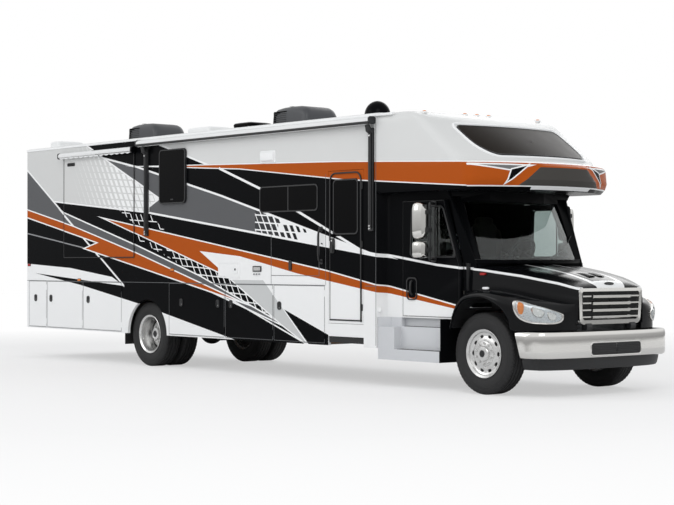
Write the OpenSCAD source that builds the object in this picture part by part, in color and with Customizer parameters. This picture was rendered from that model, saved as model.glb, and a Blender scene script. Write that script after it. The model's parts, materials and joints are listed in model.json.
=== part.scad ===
/* [Coach body] */
// Width over the coach side walls
body_w = 2565; // [2450:5:2600]
// Distance from the origin back to the rear face
coach_back = 6020; // [5200:10:6400]
// Distance from the origin forward to the coach's front edge
coach_front = 3080; // [3060:10:3100]
// Thickness of the side, rear and front walls
wall_t = 45; // [30:1:60]
// Height of the lower edge of the side skirts
skirt_z = 500; // [450:5:560]
// Height of the seam between the skirts and the upper walls
belt_z = 1333; // [1320:1:1345]
// Height of the top edge of the side walls
wall_top = 3530; // [3480:5:3700]
// Rise of the roof from its edge to its middle
roof_crown = 60; // [40:5:90]
// Thickness of the roof
roof_t = 60; // [40:5:80]
// Thickness of the living floor
floor_t = 60; // [40:5:75]

/* [Cab over bunk] */
// Height of the underside of the bunk
bunk_z = 2500; // [2490:5:2540]
// Distance from the origin to the front of the bunk
bunk_front = 5230; // [5000:10:5400]
// Corner radius of the bunk's nose in plan
bunk_corner_r = 420; // [300:10:600]
// Thickness of the moulded bunk cap
cap_t = 45; // [30:1:60]

/* [Cab] */
// Half width of the cab over its doors
cab_half_w = 1130; // [1080:5:1180]
// Thickness of the cab doors and cab walls
cab_wall_t = 50; // [40:1:70]
// Height of the cab floor
cab_floor_z = 1100; // [1060:5:1110]
// Rear edge of the cab doors
door_back = 3425; // [3400:5:3480]
// Front edge of the cab doors
door_front = 4485; // [4440:5:4500]
// Lower edge of the cab doors
door_low = 925; // [900:5:960]
// Thickness of the hood and fender moulding
hood_t = 12; // [8:1:20]

/* [Running gear] */
// Distance between the axles
wheelbase = 7258; // [6900:5:7400]
// Distance from the origin to the front axle
front_axle_x = 4895; // [4880:5:4910]
// Outer radius of the tyres
tyre_r = 500; // [480:1:510]
// Width of one tyre
tyre_w = 280; // [250:1:285]
// Radius of the rim under the tyre bead
rim_r = 285; // [270:1:290]
// Distance from the middle line to a front tyre's middle
front_track = 1020; // [1010:1:1030]
// Distance from the middle line to an outer rear tyre's middle
rear_track = 1060; // [1050:1:1070]
// Distance between the middles of twin tyres
twin_pitch = 325; // [310:1:335]
// Distance from the middle line to a kingpin
kingpin_y = 860; // [850:1:865]
// Radius of the front spindles
spindle_r = 40; // [30:1:50]
// Radius of the kingpins
kingpin_r = 25; // [18:1:30]

/* [Clearances] */
// Gap round a moving door, slide room or hood
door_gap = 5; // [5:1:10]
// Gap between a seated piece and what carries it
seat_gap = 0.3; // [0.2:0.05:0.5]

/* [Hidden] */
$fn = 64;

half_w = body_w / 2;
rear_axle_x = front_axle_x - wheelbase;
RIGHT = -1;
LEFT = 1;

// Side openings, each [rear edge, low edge, front edge, high edge]
entry_opening = [2110, 800, 2825, 2830];
entry_window = [2185, 1960, 2715, 2720];
right_window_rear = [-1895, 2520, -1235, 3310];
right_window_front = [605, 2330, 1865, 2660];
right_slide_opening = [-4735, 1730, -2685, 3380];
left_slide_opening = [-1700, 1430, 2200, 3380];
left_window_rear = [-4300, 2400, -3400, 2950];
left_slide_glass = [-700, 2350, 1200, 2950];
locker_low = 520;
locker_top = 1300;
locker_inner = 500;
locker_skin = 15;
step_low = 540;
step_high = 620;
slide_gap = 0.5;
arch_r = 545;
arch_x = rear_axle_x + 70;
arch_z = 490;
arch_back = arch_x - 727;
arch_front = arch_x + 603;
right_lockers = [[-5955, -5360], [-5340, -4200], [-4180, arch_back], [arch_front, -260], [-240, 890],
    [910, 2030]];
left_lockers = [[-5340, -4200], [-4180, arch_back], [-240, 2030]];

// Hinges
barrel_r = 9;
barrel_h = 90;

// Frame rails
rail_y = 430;
rail_low = 740;
rail_high = 990;
rail_flange = 80;
rail_web = 12;
rail_back = -5900;
hitch_mouth = -6000;
rail_nose = 5560;
floor_z = belt_z - floor_t - 13;

module box(low, high) { translate(low) cube(high - low); }
module slab_y(y0, y1) { translate([0, y1, 0]) rotate([90, 0, 0]) linear_extrude(y1 - y0) children(); }
module slab_x(x0, x1) { translate([x0, 0, 0]) rotate([90, 0, 90]) linear_extrude(x1 - x0) children(); }
module slab_z(z0, z1) { translate([0, 0, z0]) linear_extrude(z1 - z0) children(); }
// hinge barrel on the outer face at a door's front edge
module barrel(x, y, z, grow = 0) {
    translate([x, y, z - grow]) cylinder(r = barrel_r + grow, h = barrel_h + 2 * grow);
}
module barrels(x, y, low, high, grow = 0) {
    for (z = [low, high - barrel_h]) barrel(x + door_gap / 2, y, z, grow);
}
module side(s) { mirror([0, s > 0 ? 0 : 1, 0]) children(); }
module both_sides() { for (s = [RIGHT, LEFT]) side(s) children(); }
module window_box(w, grow = 0) {
    translate([w[0] - grow, w[1] - grow]) square([w[2] - w[0] + 2 * grow, w[3] - w[1] + 2 * grow]);
}
module rounded(w, r, grow = 0) {
    x0 = w[0] - grow; z0 = w[1] - grow; x1 = w[2] + grow; z1 = w[3] + grow;
    translate([x0 + r, z0]) square([x1 - x0 - 2 * r, z1 - z0]);
    translate([x0, z0 + r]) square([x1 - x0, z1 - z0 - 2 * r]);
    for (x = [x0 + r, x1 - r], z = [z0 + r, z1 - r]) translate([x, z]) circle(r);
}

// ---------- chassis ----------
module chassis_frame() {
    color("dimgray") {
        both_sides() slab_x(rail_back, rail_nose) polygon([
            [rail_y, rail_low], [rail_y, rail_high], [rail_y - rail_flange, rail_high],
            [rail_y - rail_flange, rail_high - rail_web], [rail_y - rail_web, rail_high - rail_web],
            [rail_y - rail_web, rail_low + rail_web], [rail_y - rail_flange, rail_low + rail_web],
            [rail_y - rail_flange, rail_low]]);
        member_y = rail_y - rail_web - seat_gap;
        for (x = [-5880, -4400, -3100, -1500, 0, 1500, 3000, 5460])
            box([x, -member_y, rail_low + 60], [x + 90, member_y, rail_high - 60]);
        // body outriggers that carry the living floor
        for (x = [-5600, -4600, -3300, -1300, 200, 1700, 2700])
            box([x, -locker_inner + 5, rail_high + seat_gap], [x + 80, locker_inner - 5, floor_z]);
        // hitch receiver under the rear wall
        both_sides() box([-5820, rail_y - rail_flange, 470], [-5744, rail_y, rail_low - seat_gap]);
        box([-5820, -rail_y, 470], [-5744, rail_y, 546]);
        difference() {
            box([hitch_mouth, -38, 470], [-5700, 38, 546]);
            box([hitch_mouth - 1, -25.4, 482.6], [-5790, 25.4, 533.4]);
        }
    }
}

module leaf_spring(axle_x, pack_z) {
    translate([axle_x, 0, 0]) slab_y(rail_y - rail_flange + 10, rail_y)
        polygon([[-640, pack_z + 100], [-380, pack_z + 35], [0, pack_z], [380, pack_z + 35],
            [640, pack_z + 100], [640, rail_low], [560, rail_low], [560, pack_z + 120],
            [380, pack_z + 90], [0, pack_z + 75], [-380, pack_z + 90], [-560, pack_z + 120],
            [-560, rail_low], [-640, rail_low]]);
}
front_spring_z = 520;
rear_spring_z = 600;
module leaf_springs() {
    color("dimgray") both_sides() {
        leaf_spring(front_axle_x, front_spring_z);
        leaf_spring(rear_axle_x, rear_spring_z);
    }
}

boss_low = 430;
boss_high = 570;
module front_axle() {
    color("dimgray") difference() {
        union() {
            slab_x(front_axle_x - 50, front_axle_x + 50) polygon([
                [-kingpin_y + 40, boss_high - 30], [-650, front_spring_z], [650, front_spring_z],
                [kingpin_y - 40, boss_high - 30], [kingpin_y - 40, boss_low + 20], [650, 400],
                [-650, 400], [-kingpin_y + 40, boss_low + 20]]);
            both_sides() translate([front_axle_x, kingpin_y, boss_low])
                cylinder(r = 60, h = boss_high - boss_low);
        }
        both_sides() translate([front_axle_x, kingpin_y, boss_low - 1])
            cylinder(r = kingpin_r + seat_gap, h = boss_high - boss_low + 2);
    }
}

module knuckle(s) {
    color("dimgray") side(s) translate([front_axle_x, 0, 0]) {
        translate([0, kingpin_y, boss_low - 60]) cylinder(r = kingpin_r, h = boss_high - boss_low + 120);
        for (z = [boss_low - 65, boss_high + 5]) {
            translate([0, kingpin_y, z]) cylinder(r = 55, h = 60);
            box([-50, kingpin_y, z], [50, kingpin_y + 95, z + 60]);
        }
        box([-50, kingpin_y + 65, boss_low - 65], [50, kingpin_y + 95, boss_high + 65]);
        translate([0, kingpin_y + 90, tyre_r]) rotate([-90, 0, 0])
            cylinder(r = spindle_r, h = front_track + 100 - kingpin_y - 90);
    }
}

axle_tube_r = 75;
axle_housing_r = 190;
shaft_r = 45;
shaft_front_z = 765;
rear_spindle_r = 50;
module rear_axle() {
    color("dimgray") translate([rear_axle_x, 0, 0]) {
        translate([0, -650, tyre_r]) rotate([-90, 0, 0]) cylinder(r = axle_tube_r, h = 1300);
        translate([0, -rear_track - 20, tyre_r]) rotate([-90, 0, 0])
            cylinder(r = rear_spindle_r, h = 2 * rear_track + 40);
        translate([0, 0, tyre_r]) sphere(r = axle_housing_r);
        both_sides() box([-60, rail_y - rail_flange + 10, tyre_r], [60, rail_y, rear_spring_z]);
    }
}

// shaft with a round joint at each end, from the axle's housing to the gearbox
module drive_shaft() {
    run = gearbox_back - seat_gap - shaft_r - rear_axle_x;
    rise = shaft_front_z - tyre_r;
    start = axle_housing_r + seat_gap + shaft_r;
    color("gray") translate([rear_axle_x, 0, tyre_r]) rotate([0, 90 - atan(rise / run), 0]) {
        translate([0, 0, start]) cylinder(r = shaft_r, h = norm([run, rise]) - start);
        for (z = [start, norm([run, rise])]) translate([0, 0, z]) sphere(r = shaft_r);
    }
}

gearbox_back = 3600;
module engine() {
    ear = rail_y - rail_web - seat_gap;
    color("darkslategray") {
        box([hood_back + 15, -330, 700], [5400, 330, 1380]);
        box([gearbox_back, -190, 640], [hood_back + 20, 190, 1030]);
        for (x = [4660, 5250]) box([x, -ear, 800], [x + 90, ear, 900]);
    }
}

// ---------- wheels ----------
module rim_profile(width) {
    half = width / 2 - 10;
    translate([rim_r - 30, -half]) square([30, 2 * half]);
    for (y = [-half, half - 10]) translate([rim_r - 30, y]) square([43.5, 10]);
}
module tyre_profile(width) {
    half = width / 2;
    polygon([[rim_r + seat_gap, -half + 28], [rim_r + 20, -half + 27], [rim_r + 60, -half + 6],
        [rim_r + 110, -half], [tyre_r - 40, -half + 8], [tyre_r - 8, -half + 22], [tyre_r, -half + 40],
        [tyre_r, half - 40], [tyre_r - 8, half - 22], [tyre_r - 40, half - 8], [rim_r + 110, half],
        [rim_r + 60, half - 6], [rim_r + 20, half - 27], [rim_r + seat_gap, half - 28]]);
}
module about_axle(s, x, y) {
    side(s) translate([x, y, tyre_r]) rotate([-90, 0, 0]) rotate_extrude() children();
}
module front_tyre(s) {
    color([0.09, 0.09, 0.09]) about_axle(s, front_axle_x, front_track) tyre_profile(tyre_w);
}
module rear_tyre_pair(s) {
    color([0.09, 0.09, 0.09]) for (y = [rear_track, rear_track - twin_pitch])
        about_axle(s, rear_axle_x, y) tyre_profile(tyre_w);
}
module front_rim(s) {
    bore = spindle_r + seat_gap;
    color("silver") about_axle(s, front_axle_x, front_track) {
        rim_profile(tyre_w - 10);
        polygon([[bore, -55], [90, -55], [110, 40], [rim_r - 20, 70], [rim_r - 20, 90], [110, 75],
            [85, 130], [0, 150], [0, 105], [bore, 105]]);
    }
}
module rear_rim_pair(s) {
    bore = rear_spindle_r + seat_gap;
    disc = -twin_pitch / 2;
    color("silver") about_axle(s, rear_axle_x, rear_track) {
        rim_profile(tyre_w - 10);
        translate([0, -twin_pitch]) rim_profile(tyre_w - 10);
        translate([rim_r - 30, disc - 60]) square([10, 120]);
        translate([100, disc - 12]) square([rim_r - 125, 24]);
        polygon([[bore, disc - 90], [110, disc - 60], [110, disc + 40], [90, disc + 180], [0, disc + 190],
            [0, 25], [bore, 25]]);
    }
}

// ---------- front end ----------
module front_bumper() {
    color("silver") {
        difference() {
            intersection() {
                slab_z(465, 785) polygon([[5400, -1215], [5840, -1190], [5970, -900], [6020, -450],
                    [6020, 450], [5970, 900], [5840, 1190], [5400, 1215], [5400, 1150], [5780, 1120],
                    [5900, 860], [5950, 440], [5950, -440], [5900, -860], [5780, -1120], [5400, -1150]]);
            }
            box([5900, -450, 500], [6100, 450, 650]);
            both_sides() slab_y(1000, 1300) polygon([[5390, 460], [5470, 460], [5390, 700]]);
        }
        // brackets to the frame rails
        both_sides() {
            box([rail_nose, rail_y - rail_flange, 680], [5952, rail_y, 785]);
            // lug and pin that carry the hood
            box([hood_pivot_x - 15, rail_y - rail_flange, 784], [hood_pivot_x + 15, rail_y, hood_pivot_z]);
            translate([hood_pivot_x, rail_y - rail_flange, hood_pivot_z]) rotate([-90, 0, 0])
                cylinder(r = hood_pin_r, h = rail_flange + hood_ear_t + 6);
        }
    }
}
module bumper_valance() {
    color([0.15, 0.15, 0.16]) slab_z(330, 465) polygon([[5520, -1120], [5780, -1090], [5900, -800],
        [5950, -430], [5950, 430], [5900, 800], [5780, 1090], [5520, 1120], [5520, 1080], [5740, 1050],
        [5850, 780], [5900, 400], [5900, -400], [5850, -780], [5740, -1050], [5520, -1080]]);
}

hood_back = 4605;
hood_pivot_x = 5925;
hood_pivot_z = 840;
hood_pin_r = 14;
hood_ear_t = 16;
hood_low = 862;
module hood_side(x0, low, in) {
    polygon([[x0, low], [5905 - in, low], [5935 - in, 1290 - in], [5830 - in, 1390 - in],
        [5500, 1480 - in], [hood_back, 1600 - in], [x0, 1600 - in]]);
}
module hood_plan(x0, in) {
    polygon([[x0, -1040 + in], [5200, -860 + in], [5800, -640 + in], [5950 - in, -560 + in],
        [5950 - in, 560 - in], [5800, 640 - in], [5200, 860 - in], [x0, 1040 - in]]);
}
fender_half_w = 1280;
fender_low = 810;
module fender_outline(drop = 0) {
    low = fender_low - 20 - drop;
    polygon([[4440, low], [4440 + drop, 850], [4497 + drop, 1005], [4540 + drop, 1100 - drop / 2],
        [4600 + drop / 2, 1180 - drop], [4680, 1240 - drop], [4800, 1270 - drop], [4990, 1280 - drop],
        [5300, 1230 - drop], [5700, 1120 - drop], [5890 - drop, 1000 - drop], [5890 - drop, low]]);
}
module fender_plan(in = 0) {
    polygon([[4200, 560], [4200, fender_half_w - in], [5150, fender_half_w - in], [5420 - in / 2, 1235 - in],
        [5700 - in, 1060 - in], [5890 - in, 800], [5890 - in, 560]]);
}
module hood() {
    color([0.05, 0.05, 0.06]) {
        difference() {
            intersection() {
                slab_y(-1100, 1100) hood_side(hood_back, hood_low, 0);
                slab_z(fender_low, 1700) hood_plan(hood_back, 0);
            }
            intersection() {
                slab_y(-1100, 1100) hood_side(hood_back - 10, 700, hood_t);
                slab_z(700, 1700) hood_plan(hood_back - 10, hood_t);
            }
            grille_opening(0);
            headlight_solid();
            both_sides() fender_well();
            slab_y(-1100, 1100) polygon([[4500, 800], [5000, 1100], [5880, hood_low + 20], [5880, 800]]);
        }
        // ears on the hinge pins
        both_sides() difference() {
            translate([0, rail_y + 3, 0]) {
                translate([hood_pivot_x, 0, hood_pivot_z]) rotate([-90, 0, 0])
                    cylinder(r = 24, h = hood_ear_t);
                box([hood_pivot_x - 20, 0, hood_pivot_z], [hood_pivot_x + 10, hood_ear_t, hood_low + 15]);
            }
            translate([hood_pivot_x, rail_y, hood_pivot_z]) rotate([-90, 0, 0])
                cylinder(r = hood_pin_r + seat_gap, h = 60);
        }
        both_sides() difference() {
            intersection() {
                union() {
                    slab_y(cab_half_w + 10, fender_half_w) fender_outline();
                    intersection() {
                        slab_y(700, cab_half_w + 10) fender_outline();
                        box([hood_back, 0, fender_low], [6000, 1300, 1400]);
                    }
                }
                slab_z(fender_low, 1400) fender_plan();
            }
            fender_well();
            headlight_solid();
            // wheel opening in the outer skin
            slab_y(1150, 1300) polygon([[4450, 700], [4462, 850], [4510, 985], [4580, 1080],
                [4660, 1150], [4780, 1188], [4990, 1195], [5200, 1130], [5330, 1040], [5420, 920],
                [5445, 810], [5445, 700]]);
            // room for the hood's own hollow
            intersection() {
                slab_y(-1100, 1100) hood_side(hood_back - 10, 700, hood_t);
                slab_z(700, 1700) hood_plan(hood_back - 10, hood_t);
            }
            // joint between the fender and its flare beside the cab
            box([hood_back - seat_gap, 600, 600], [hood_back, fender_half_w + 1, 1500]);
        }
    }
}
module fender_well() {
    intersection() {
        slab_y(-1300, fender_half_w - hood_t) fender_outline(hood_t);
        slab_z(700, 1400) fender_plan(hood_t);
        slab_y(640, 1300) translate([4000, 600]) square([1880, 800]);
    }
}
grille_half_w = 540;
grille_low = 882;
grille_high = 1284;
module grille_opening(in) {
    box([5800, in - grille_half_w, grille_low + in], [6100, grille_half_w - in, grille_high - in]);
}
module grille() {
    slats = 4;
    pitch = (grille_high - grille_low - 40) / slats;
    color("silver") intersection() {
        slab_z(800, 1400) hood_plan(hood_back, 0);
        difference() {
            box([5890, -grille_half_w, grille_low], [5960, grille_half_w, grille_high]);
            box([5800, 45 - grille_half_w, grille_low + 35], [6000, grille_half_w - 45, grille_high - 35]);
        }
    }
    color("silver") for (i = [0:slats - 1])
        translate([0, 0, grille_low + 40 + i * pitch])
            box([5900, 45 - grille_half_w, 0], [5925, grille_half_w - 45, 30]);
}
module headlight_solid() {
    both_sides() intersection() {
        slab_y(600, fender_half_w - 20)
            polygon([[5470, 955], [5860, 940], [5860, 1040], [5600, 1130], [5470, 1140]]);
        difference() {
            slab_z(900, 1200) fender_plan();
            slab_z(899, 1201) polygon([[4200, 500], [4200, 1240], [5150, 1240], [5400, 1180], [5660, 1010],
                [5845, 760], [5845, 500]]);
        }
    }
}
module headlights() { color("white") headlight_solid(); }

// ---------- cab ----------
glass_tilt = atan((4580 - 4240) / (2365 - 1645));
pillar_base = [4580, 1645];
pillar_top = [4240, 2365];
module door_outline(grow = 0) {
    polygon([[door_back - grow, door_low - grow], [door_front - 85 + grow / 2, door_low - grow],
        [door_front + grow, 1040 - grow / 2], [door_front + grow, 1560 + grow / 2],
        [4200 + grow, 2395 + grow], [door_back - grow, 2395 + grow]]);
}
module door_window() { polygon([[3570, 1680], [4390, 1680], [4380, 1740], [4165, 2320], [3600, 2320]]); }
module cab_shell() {
    inner = cab_half_w - cab_wall_t;
    color([0.06, 0.06, 0.07]) difference() {
        union() {
            // floor, roof and firewall
            box([coach_front, -inner, cab_floor_z - 50], [hood_back - 5, inner, cab_floor_z]);
            box([coach_front, -inner, bunk_z - 60], [4280, inner, bunk_z]);
            box([4545, -1030, cab_floor_z], [hood_back - 5, 1030, 1600]);
            // sides
            both_sides() slab_y(inner, cab_half_w) polygon([
                [3150, door_low - 20], [door_front - 70, door_low - 20],
                [door_front + 30, 1040], [hood_back - 5, 1260], [hood_back - 5, 1560], pillar_base,
                [4250, 2420], [4250, bunk_z], [3150, bunk_z]]);
            // corner panels out to the coach walls
            both_sides() slab_z(door_low - 20, bunk_z) polygon([
                [coach_front, half_w], [coach_front, half_w - 50], [3150, inner], [3200, inner],
                [3200, cab_half_w], [3150, cab_half_w + 20]]);
            // windshield pillars
            both_sides() slab_y(870, cab_half_w) polygon([[4500, 1600], [hood_back - 5, 1600], pillar_base,
                [4250, 2400], [4200, bunk_z - 50], [4140, bunk_z - 50], [4170, 2340]]);
            // cowl and header round the windshield
            slab_z(1600, 1645) polygon([[4450, -1030], [4600, -1030], [4760, -500], [4790, 0], [4760, 500],
                [4600, 1030], [4450, 1030]]);
            slab_z(2380, bunk_z) polygon([[4100, -900], [4250, -900], [4370, -500], [4400, 0], [4370, 500],
                [4250, 900], [4100, 900]]);
        }
        both_sides() slab_y(inner, cab_half_w + 1) door_outline(door_gap);
        windshield_solid(seat_gap);
        box([coach_front - 10, -650, cab_floor_z + 1], [3140, 650, 2300]);
    }
    color([0.06, 0.06, 0.07]) both_sides() barrels(door_front, cab_half_w, 1120, 1500);
}
glass_t = 8;
glass_half_w = 870;
glass_low = 1645;
glass_high = 2380;
module windshield_solid(grow = 0) {
    radius = 2600;
    bow = radius - sqrt(radius * radius - glass_half_w * glass_half_w);
    intersection() {
        translate([pillar_base[0] + bow * cos(glass_tilt), 0, pillar_base[1] + bow * sin(glass_tilt)])
            rotate([0, -glass_tilt, 0]) translate([-radius, 0, -300]) difference() {
                cylinder(r = radius + grow, h = 1300, $fn = 360);
                translate([0, 0, -1]) cylinder(r = radius - glass_t - grow, h = 1302, $fn = 360);
            }
        slab_x(4000, 5000) polygon([
            [-glass_half_w - grow, glass_low - grow], [glass_half_w + grow, glass_low - grow],
            [glass_half_w - 70 + grow, glass_high + grow], [70 - glass_half_w - grow, glass_high + grow]]);
    }
}
module windshield() { color([0.2, 0.24, 0.25, 0.5]) windshield_solid(); }
module dashboard() {
    color([0.16, 0.16, 0.17]) {
        slab_y(-1060, 1060) polygon([[4130, 1250], [4545, 1250], [4545, 1595], [4250, 1595], [4130, 1540]]);
        translate([4150, 480, 1560]) rotate([0, -62, 0]) cylinder(r = 30, h = 180);
        translate([3990, 480, 1644]) rotate([0, -62, 0]) rotate_extrude() translate([215, 0]) circle(16);
        translate([3990, 480, 1644]) rotate([0, -62, 0]) {
            box([-215, -20, -8], [215, 20, 8]);
            box([-20, -215, -8], [20, 215, 8]);
        }
        box([4300, -200, cab_floor_z], [4545, 200, 1260]);
    }
}
module cab_seats() {
    color([0.3, 0.29, 0.28]) for (y = [-520, 520]) {
        box([3350, y - 250, cab_floor_z], [3750, y + 250, cab_floor_z + 300]);
        slab_y(y - 270, y + 270) polygon([[3250, cab_floor_z + 300], [3820, cab_floor_z + 300],
            [3820, cab_floor_z + 440], [3420, cab_floor_z + 420], [3300, cab_floor_z + 1120],
            [3180, cab_floor_z + 1120]]);
    }
}
step_front = 4250;
module cab_steps() {
    color("whitesmoke") both_sides() {
        difference() {
            union() {
                // fairing under the coach corner and the door
                slab_z(360, 780) polygon([[3090, 700], [3090, 1262], [step_front, 1262], [step_front, 700]]);
                slab_z(779, door_low - 20) polygon([[3090, 700], [3090, 1262], [3200, 1130],
                    [step_front, 1130], [step_front, 700]]);
            }
            box([3400, 1140, 500], [step_front + 1, 1300, 1000]);
            box([3400, 1060, 790], [step_front + 1, 1300, 1000]);
        }
        // splash guard behind the front wheel
        box([step_front - 1, 700, 380], [step_front + 12, 1255, door_low - 20]);
    }
}

// ---------- coach ----------
inner_w = half_w - wall_t;
stair_inner = 700;
stair_low = 760;
module coach_floor() {
    stair = [entry_opening[0] - 40, entry_opening[2] + 40];
    side_y = stair_inner;
    top = floor_z + floor_t;
    color("burlywood") {
        // floor boards behind, beside and ahead of the stairwell
        box([wall_t - coach_back, -inner_w, floor_z], [entry_opening[0] - seat_gap, inner_w, top]);
        box([entry_opening[0], -side_y, floor_z], [entry_opening[2], inner_w, top]);
        box([entry_opening[2] + seat_gap, -inner_w, floor_z], [coach_front, inner_w, top]);
        // sides of the stairwell, which also guide the sliding entry step
        for (x = [[stair[0], entry_opening[0] - seat_gap], [entry_opening[2] + seat_gap, stair[1]]])
            box([x[0], -inner_w, step_low - 20], [x[1], 40 - side_y, floor_z - seat_gap]);
        // its back, its lower tread and its upper tread
        box([entry_opening[0], -side_y, stair_low], [entry_opening[2], 40 - side_y, floor_z - seat_gap]);
        box([entry_opening[0], -inner_w, stair_low], [entry_opening[2], -side_y - seat_gap, stair_low + 30]);
        box([entry_opening[0], -side_y - 250, stair_low + 30 + seat_gap],
            [entry_opening[2], -side_y - seat_gap, stair_low + 260]);
    }
}
module locker_box(w) {
    difference() {
        box([w[0] - 10, locker_inner, skirt_z + 5], [w[1] + 10, inner_w, floor_z]);
        box([w[0] + 5, locker_inner + locker_skin, locker_low], [w[1] - 5, inner_w + 1, locker_top]);
    }
}
module basement() {
    color("gray") {
        side(RIGHT) for (w = right_lockers) locker_box(w);
        side(LEFT) for (w = left_lockers) locker_box(w);
    }
}
module wall_blank() {
    difference() {
        translate([-coach_back, skirt_z]) square([coach_back + coach_front, wall_top - skirt_z]);
        translate([arch_x, arch_z]) circle(arch_r);
    }
}
module locker_rect(w, grow = 0) { window_box([w[0], locker_low, w[1], locker_top], grow); }
module locker_barrels(w, grow = 0) { barrels(w[1], half_w, locker_low + 60, locker_top - 60, grow); }
module entry_barrels(grow = 0) {
    barrels(entry_opening[2], half_w, entry_opening[1] + 120, entry_opening[3] - 120, grow);
}
module right_wall() {
    color("whitesmoke") side(RIGHT) {
        slab_y(inner_w, half_w) difference() {
            wall_blank();
            for (w = right_lockers) locker_rect(w, door_gap);
            window_box(entry_opening, door_gap);
            window_box(right_slide_opening, door_gap);
            rounded(right_window_rear, 40);
            rounded(right_window_front, 40);
            // slot for the entry step
            translate([entry_opening[0] - door_gap, skirt_z - 1])
                square([entry_opening[2] - entry_opening[0] + 2 * door_gap,
                    step_high + door_gap - skirt_z + 1]);
            // joints on both sides of the panel over the entry door
            for (x = [entry_opening[0] - door_gap, entry_opening[2] + door_gap - seat_gap])
                translate([x, entry_opening[3]]) square([seat_gap, wall_top]);
        }
        for (w = right_lockers) locker_barrels(w);
        entry_barrels();
    }
}
module left_wall() {
    color("whitesmoke") side(LEFT) {
        slab_y(inner_w, half_w) difference() {
            wall_blank();
            for (w = left_lockers) locker_rect(w, door_gap);
            window_box(left_slide_opening, door_gap);
            rounded(left_window_rear, 40);
        }
        for (w = left_lockers) locker_barrels(w);
    }
}
module coach_roof() { color("whitesmoke") roof_solid(); }
module roof_solid() {
    slab_x(-coach_back, coach_front) polygon([
        [-half_w, wall_top], [-half_w + 8, wall_top + 15], [-half_w + 50, wall_top + 28],
        [-700, wall_top + roof_crown - 12], [0, wall_top + roof_crown], [700, wall_top + roof_crown - 12],
        [half_w - 50, wall_top + 28], [half_w - 8, wall_top + 15], [half_w, wall_top]]);
}
module rear_wall() {
    color("whitesmoke") slab_x(-coach_back, wall_t - coach_back) polygon([[-inner_w, 560], [inner_w, 560],
        [inner_w, wall_top], [-inner_w, wall_top]]);
}

bunk_window = [4110, 2940, 4700, 3335];
bunk_window_half_w = 900;
module bunk_side(in = 0) {
    polygon([[coach_front - (in > 0 ? 10 : 0), bunk_z + in], [bunk_front - 130 - in, bunk_z + in],
        [bunk_front - in, bunk_z + 130], [bunk_front - 40 - in, bunk_z + 300], [4830 - in, 2870 - in],
        [4060 - in / 2, 3375 - in], [3700, 3530 - in], [3400, wall_top + roof_crown - 5 - in],
        [coach_front - (in > 0 ? 10 : 0), wall_top + roof_crown - in]]);
}
module bunk_plan(in = 0) {
    nose = bunk_front - in;
    polygon([[coach_front - 20, half_w - in], [nose - 2 * bunk_corner_r + 310, half_w - in],
        [nose - bunk_corner_r + 50, 1180 - in], [nose - bunk_corner_r + 200, 980 - in],
        [nose - 110, 700 - in],
        [nose - 30, 350], [nose, 0], [nose - 30, -350], [nose - 110, in - 700],
        [nose - bunk_corner_r + 200, in - 980], [nose - bunk_corner_r + 50, in - 1180],
        [nose - 2 * bunk_corner_r + 310, in - half_w], [coach_front - 20, in - half_w]]);
}
module bunk_front_view(in = 0) {
    polygon([[in - half_w, bunk_z - 1], [half_w - in, bunk_z - 1], [half_w - in, wall_top - 60],
        [half_w - 60 - in, wall_top + 10 - in], [700, wall_top + roof_crown - 12 - in],
        [0, wall_top + roof_crown - in], [-700, wall_top + roof_crown - 12 - in],
        [in - half_w + 60, wall_top + 10 - in], [in - half_w, wall_top - 60]]);
}
module bunk_cap() {
    color("whitesmoke") difference() {
        intersection() {
            slab_y(-half_w, half_w) bunk_side();
            slab_z(bunk_z, 3700) bunk_plan();
            slab_x(coach_front, bunk_front) bunk_front_view();
        }
        intersection() {
            slab_y(-half_w, half_w) bunk_side(cap_t);
            slab_z(bunk_z, 3700) bunk_plan(cap_t);
            slab_x(coach_front - 30, bunk_front) bunk_front_view(cap_t);
        }
        box([bunk_window[0], -bunk_window_half_w, bunk_window[1] + 10],
            [bunk_window[2], bunk_window_half_w, bunk_window[3] + 100]);
    }
}
module coach_windows() {
    proud = 30;
    color([0.05, 0.05, 0.05]) {
        side(RIGHT) slab_y(half_w - 30, half_w + proud) rounded(right_window_rear, 40);
        side(RIGHT) slab_y(half_w - 30, half_w + 5) rounded(right_window_front, 40);
        side(LEFT) slab_y(half_w - 30, half_w + 5) rounded(left_window_rear, 40);
        intersection() {
            slab_y(-bunk_window_half_w + seat_gap, bunk_window_half_w - seat_gap)
                difference() { bunk_side(); bunk_side(10); }
            box([bunk_window[0] + seat_gap, -1000, bunk_window[1] + 10 + seat_gap],
                [bunk_window[2] - seat_gap, 1000, 3500]);
        }
    }
}

awning_back = -2450;
awning_front = 3050;
module awning() {
    color([0.12, 0.12, 0.13]) side(RIGHT) {
        slab_x(awning_back, awning_front) polygon([[half_w, 3405], [half_w + 90, 3405], [half_w + 115, 3440],
            [half_w + 105, 3485], [half_w + 60, 3505], [half_w, 3505]]);
        for (x = [-2340, 2950]) box([x, half_w, 2020], [x + 95, half_w + 55, 3405]);
    }
}

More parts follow.
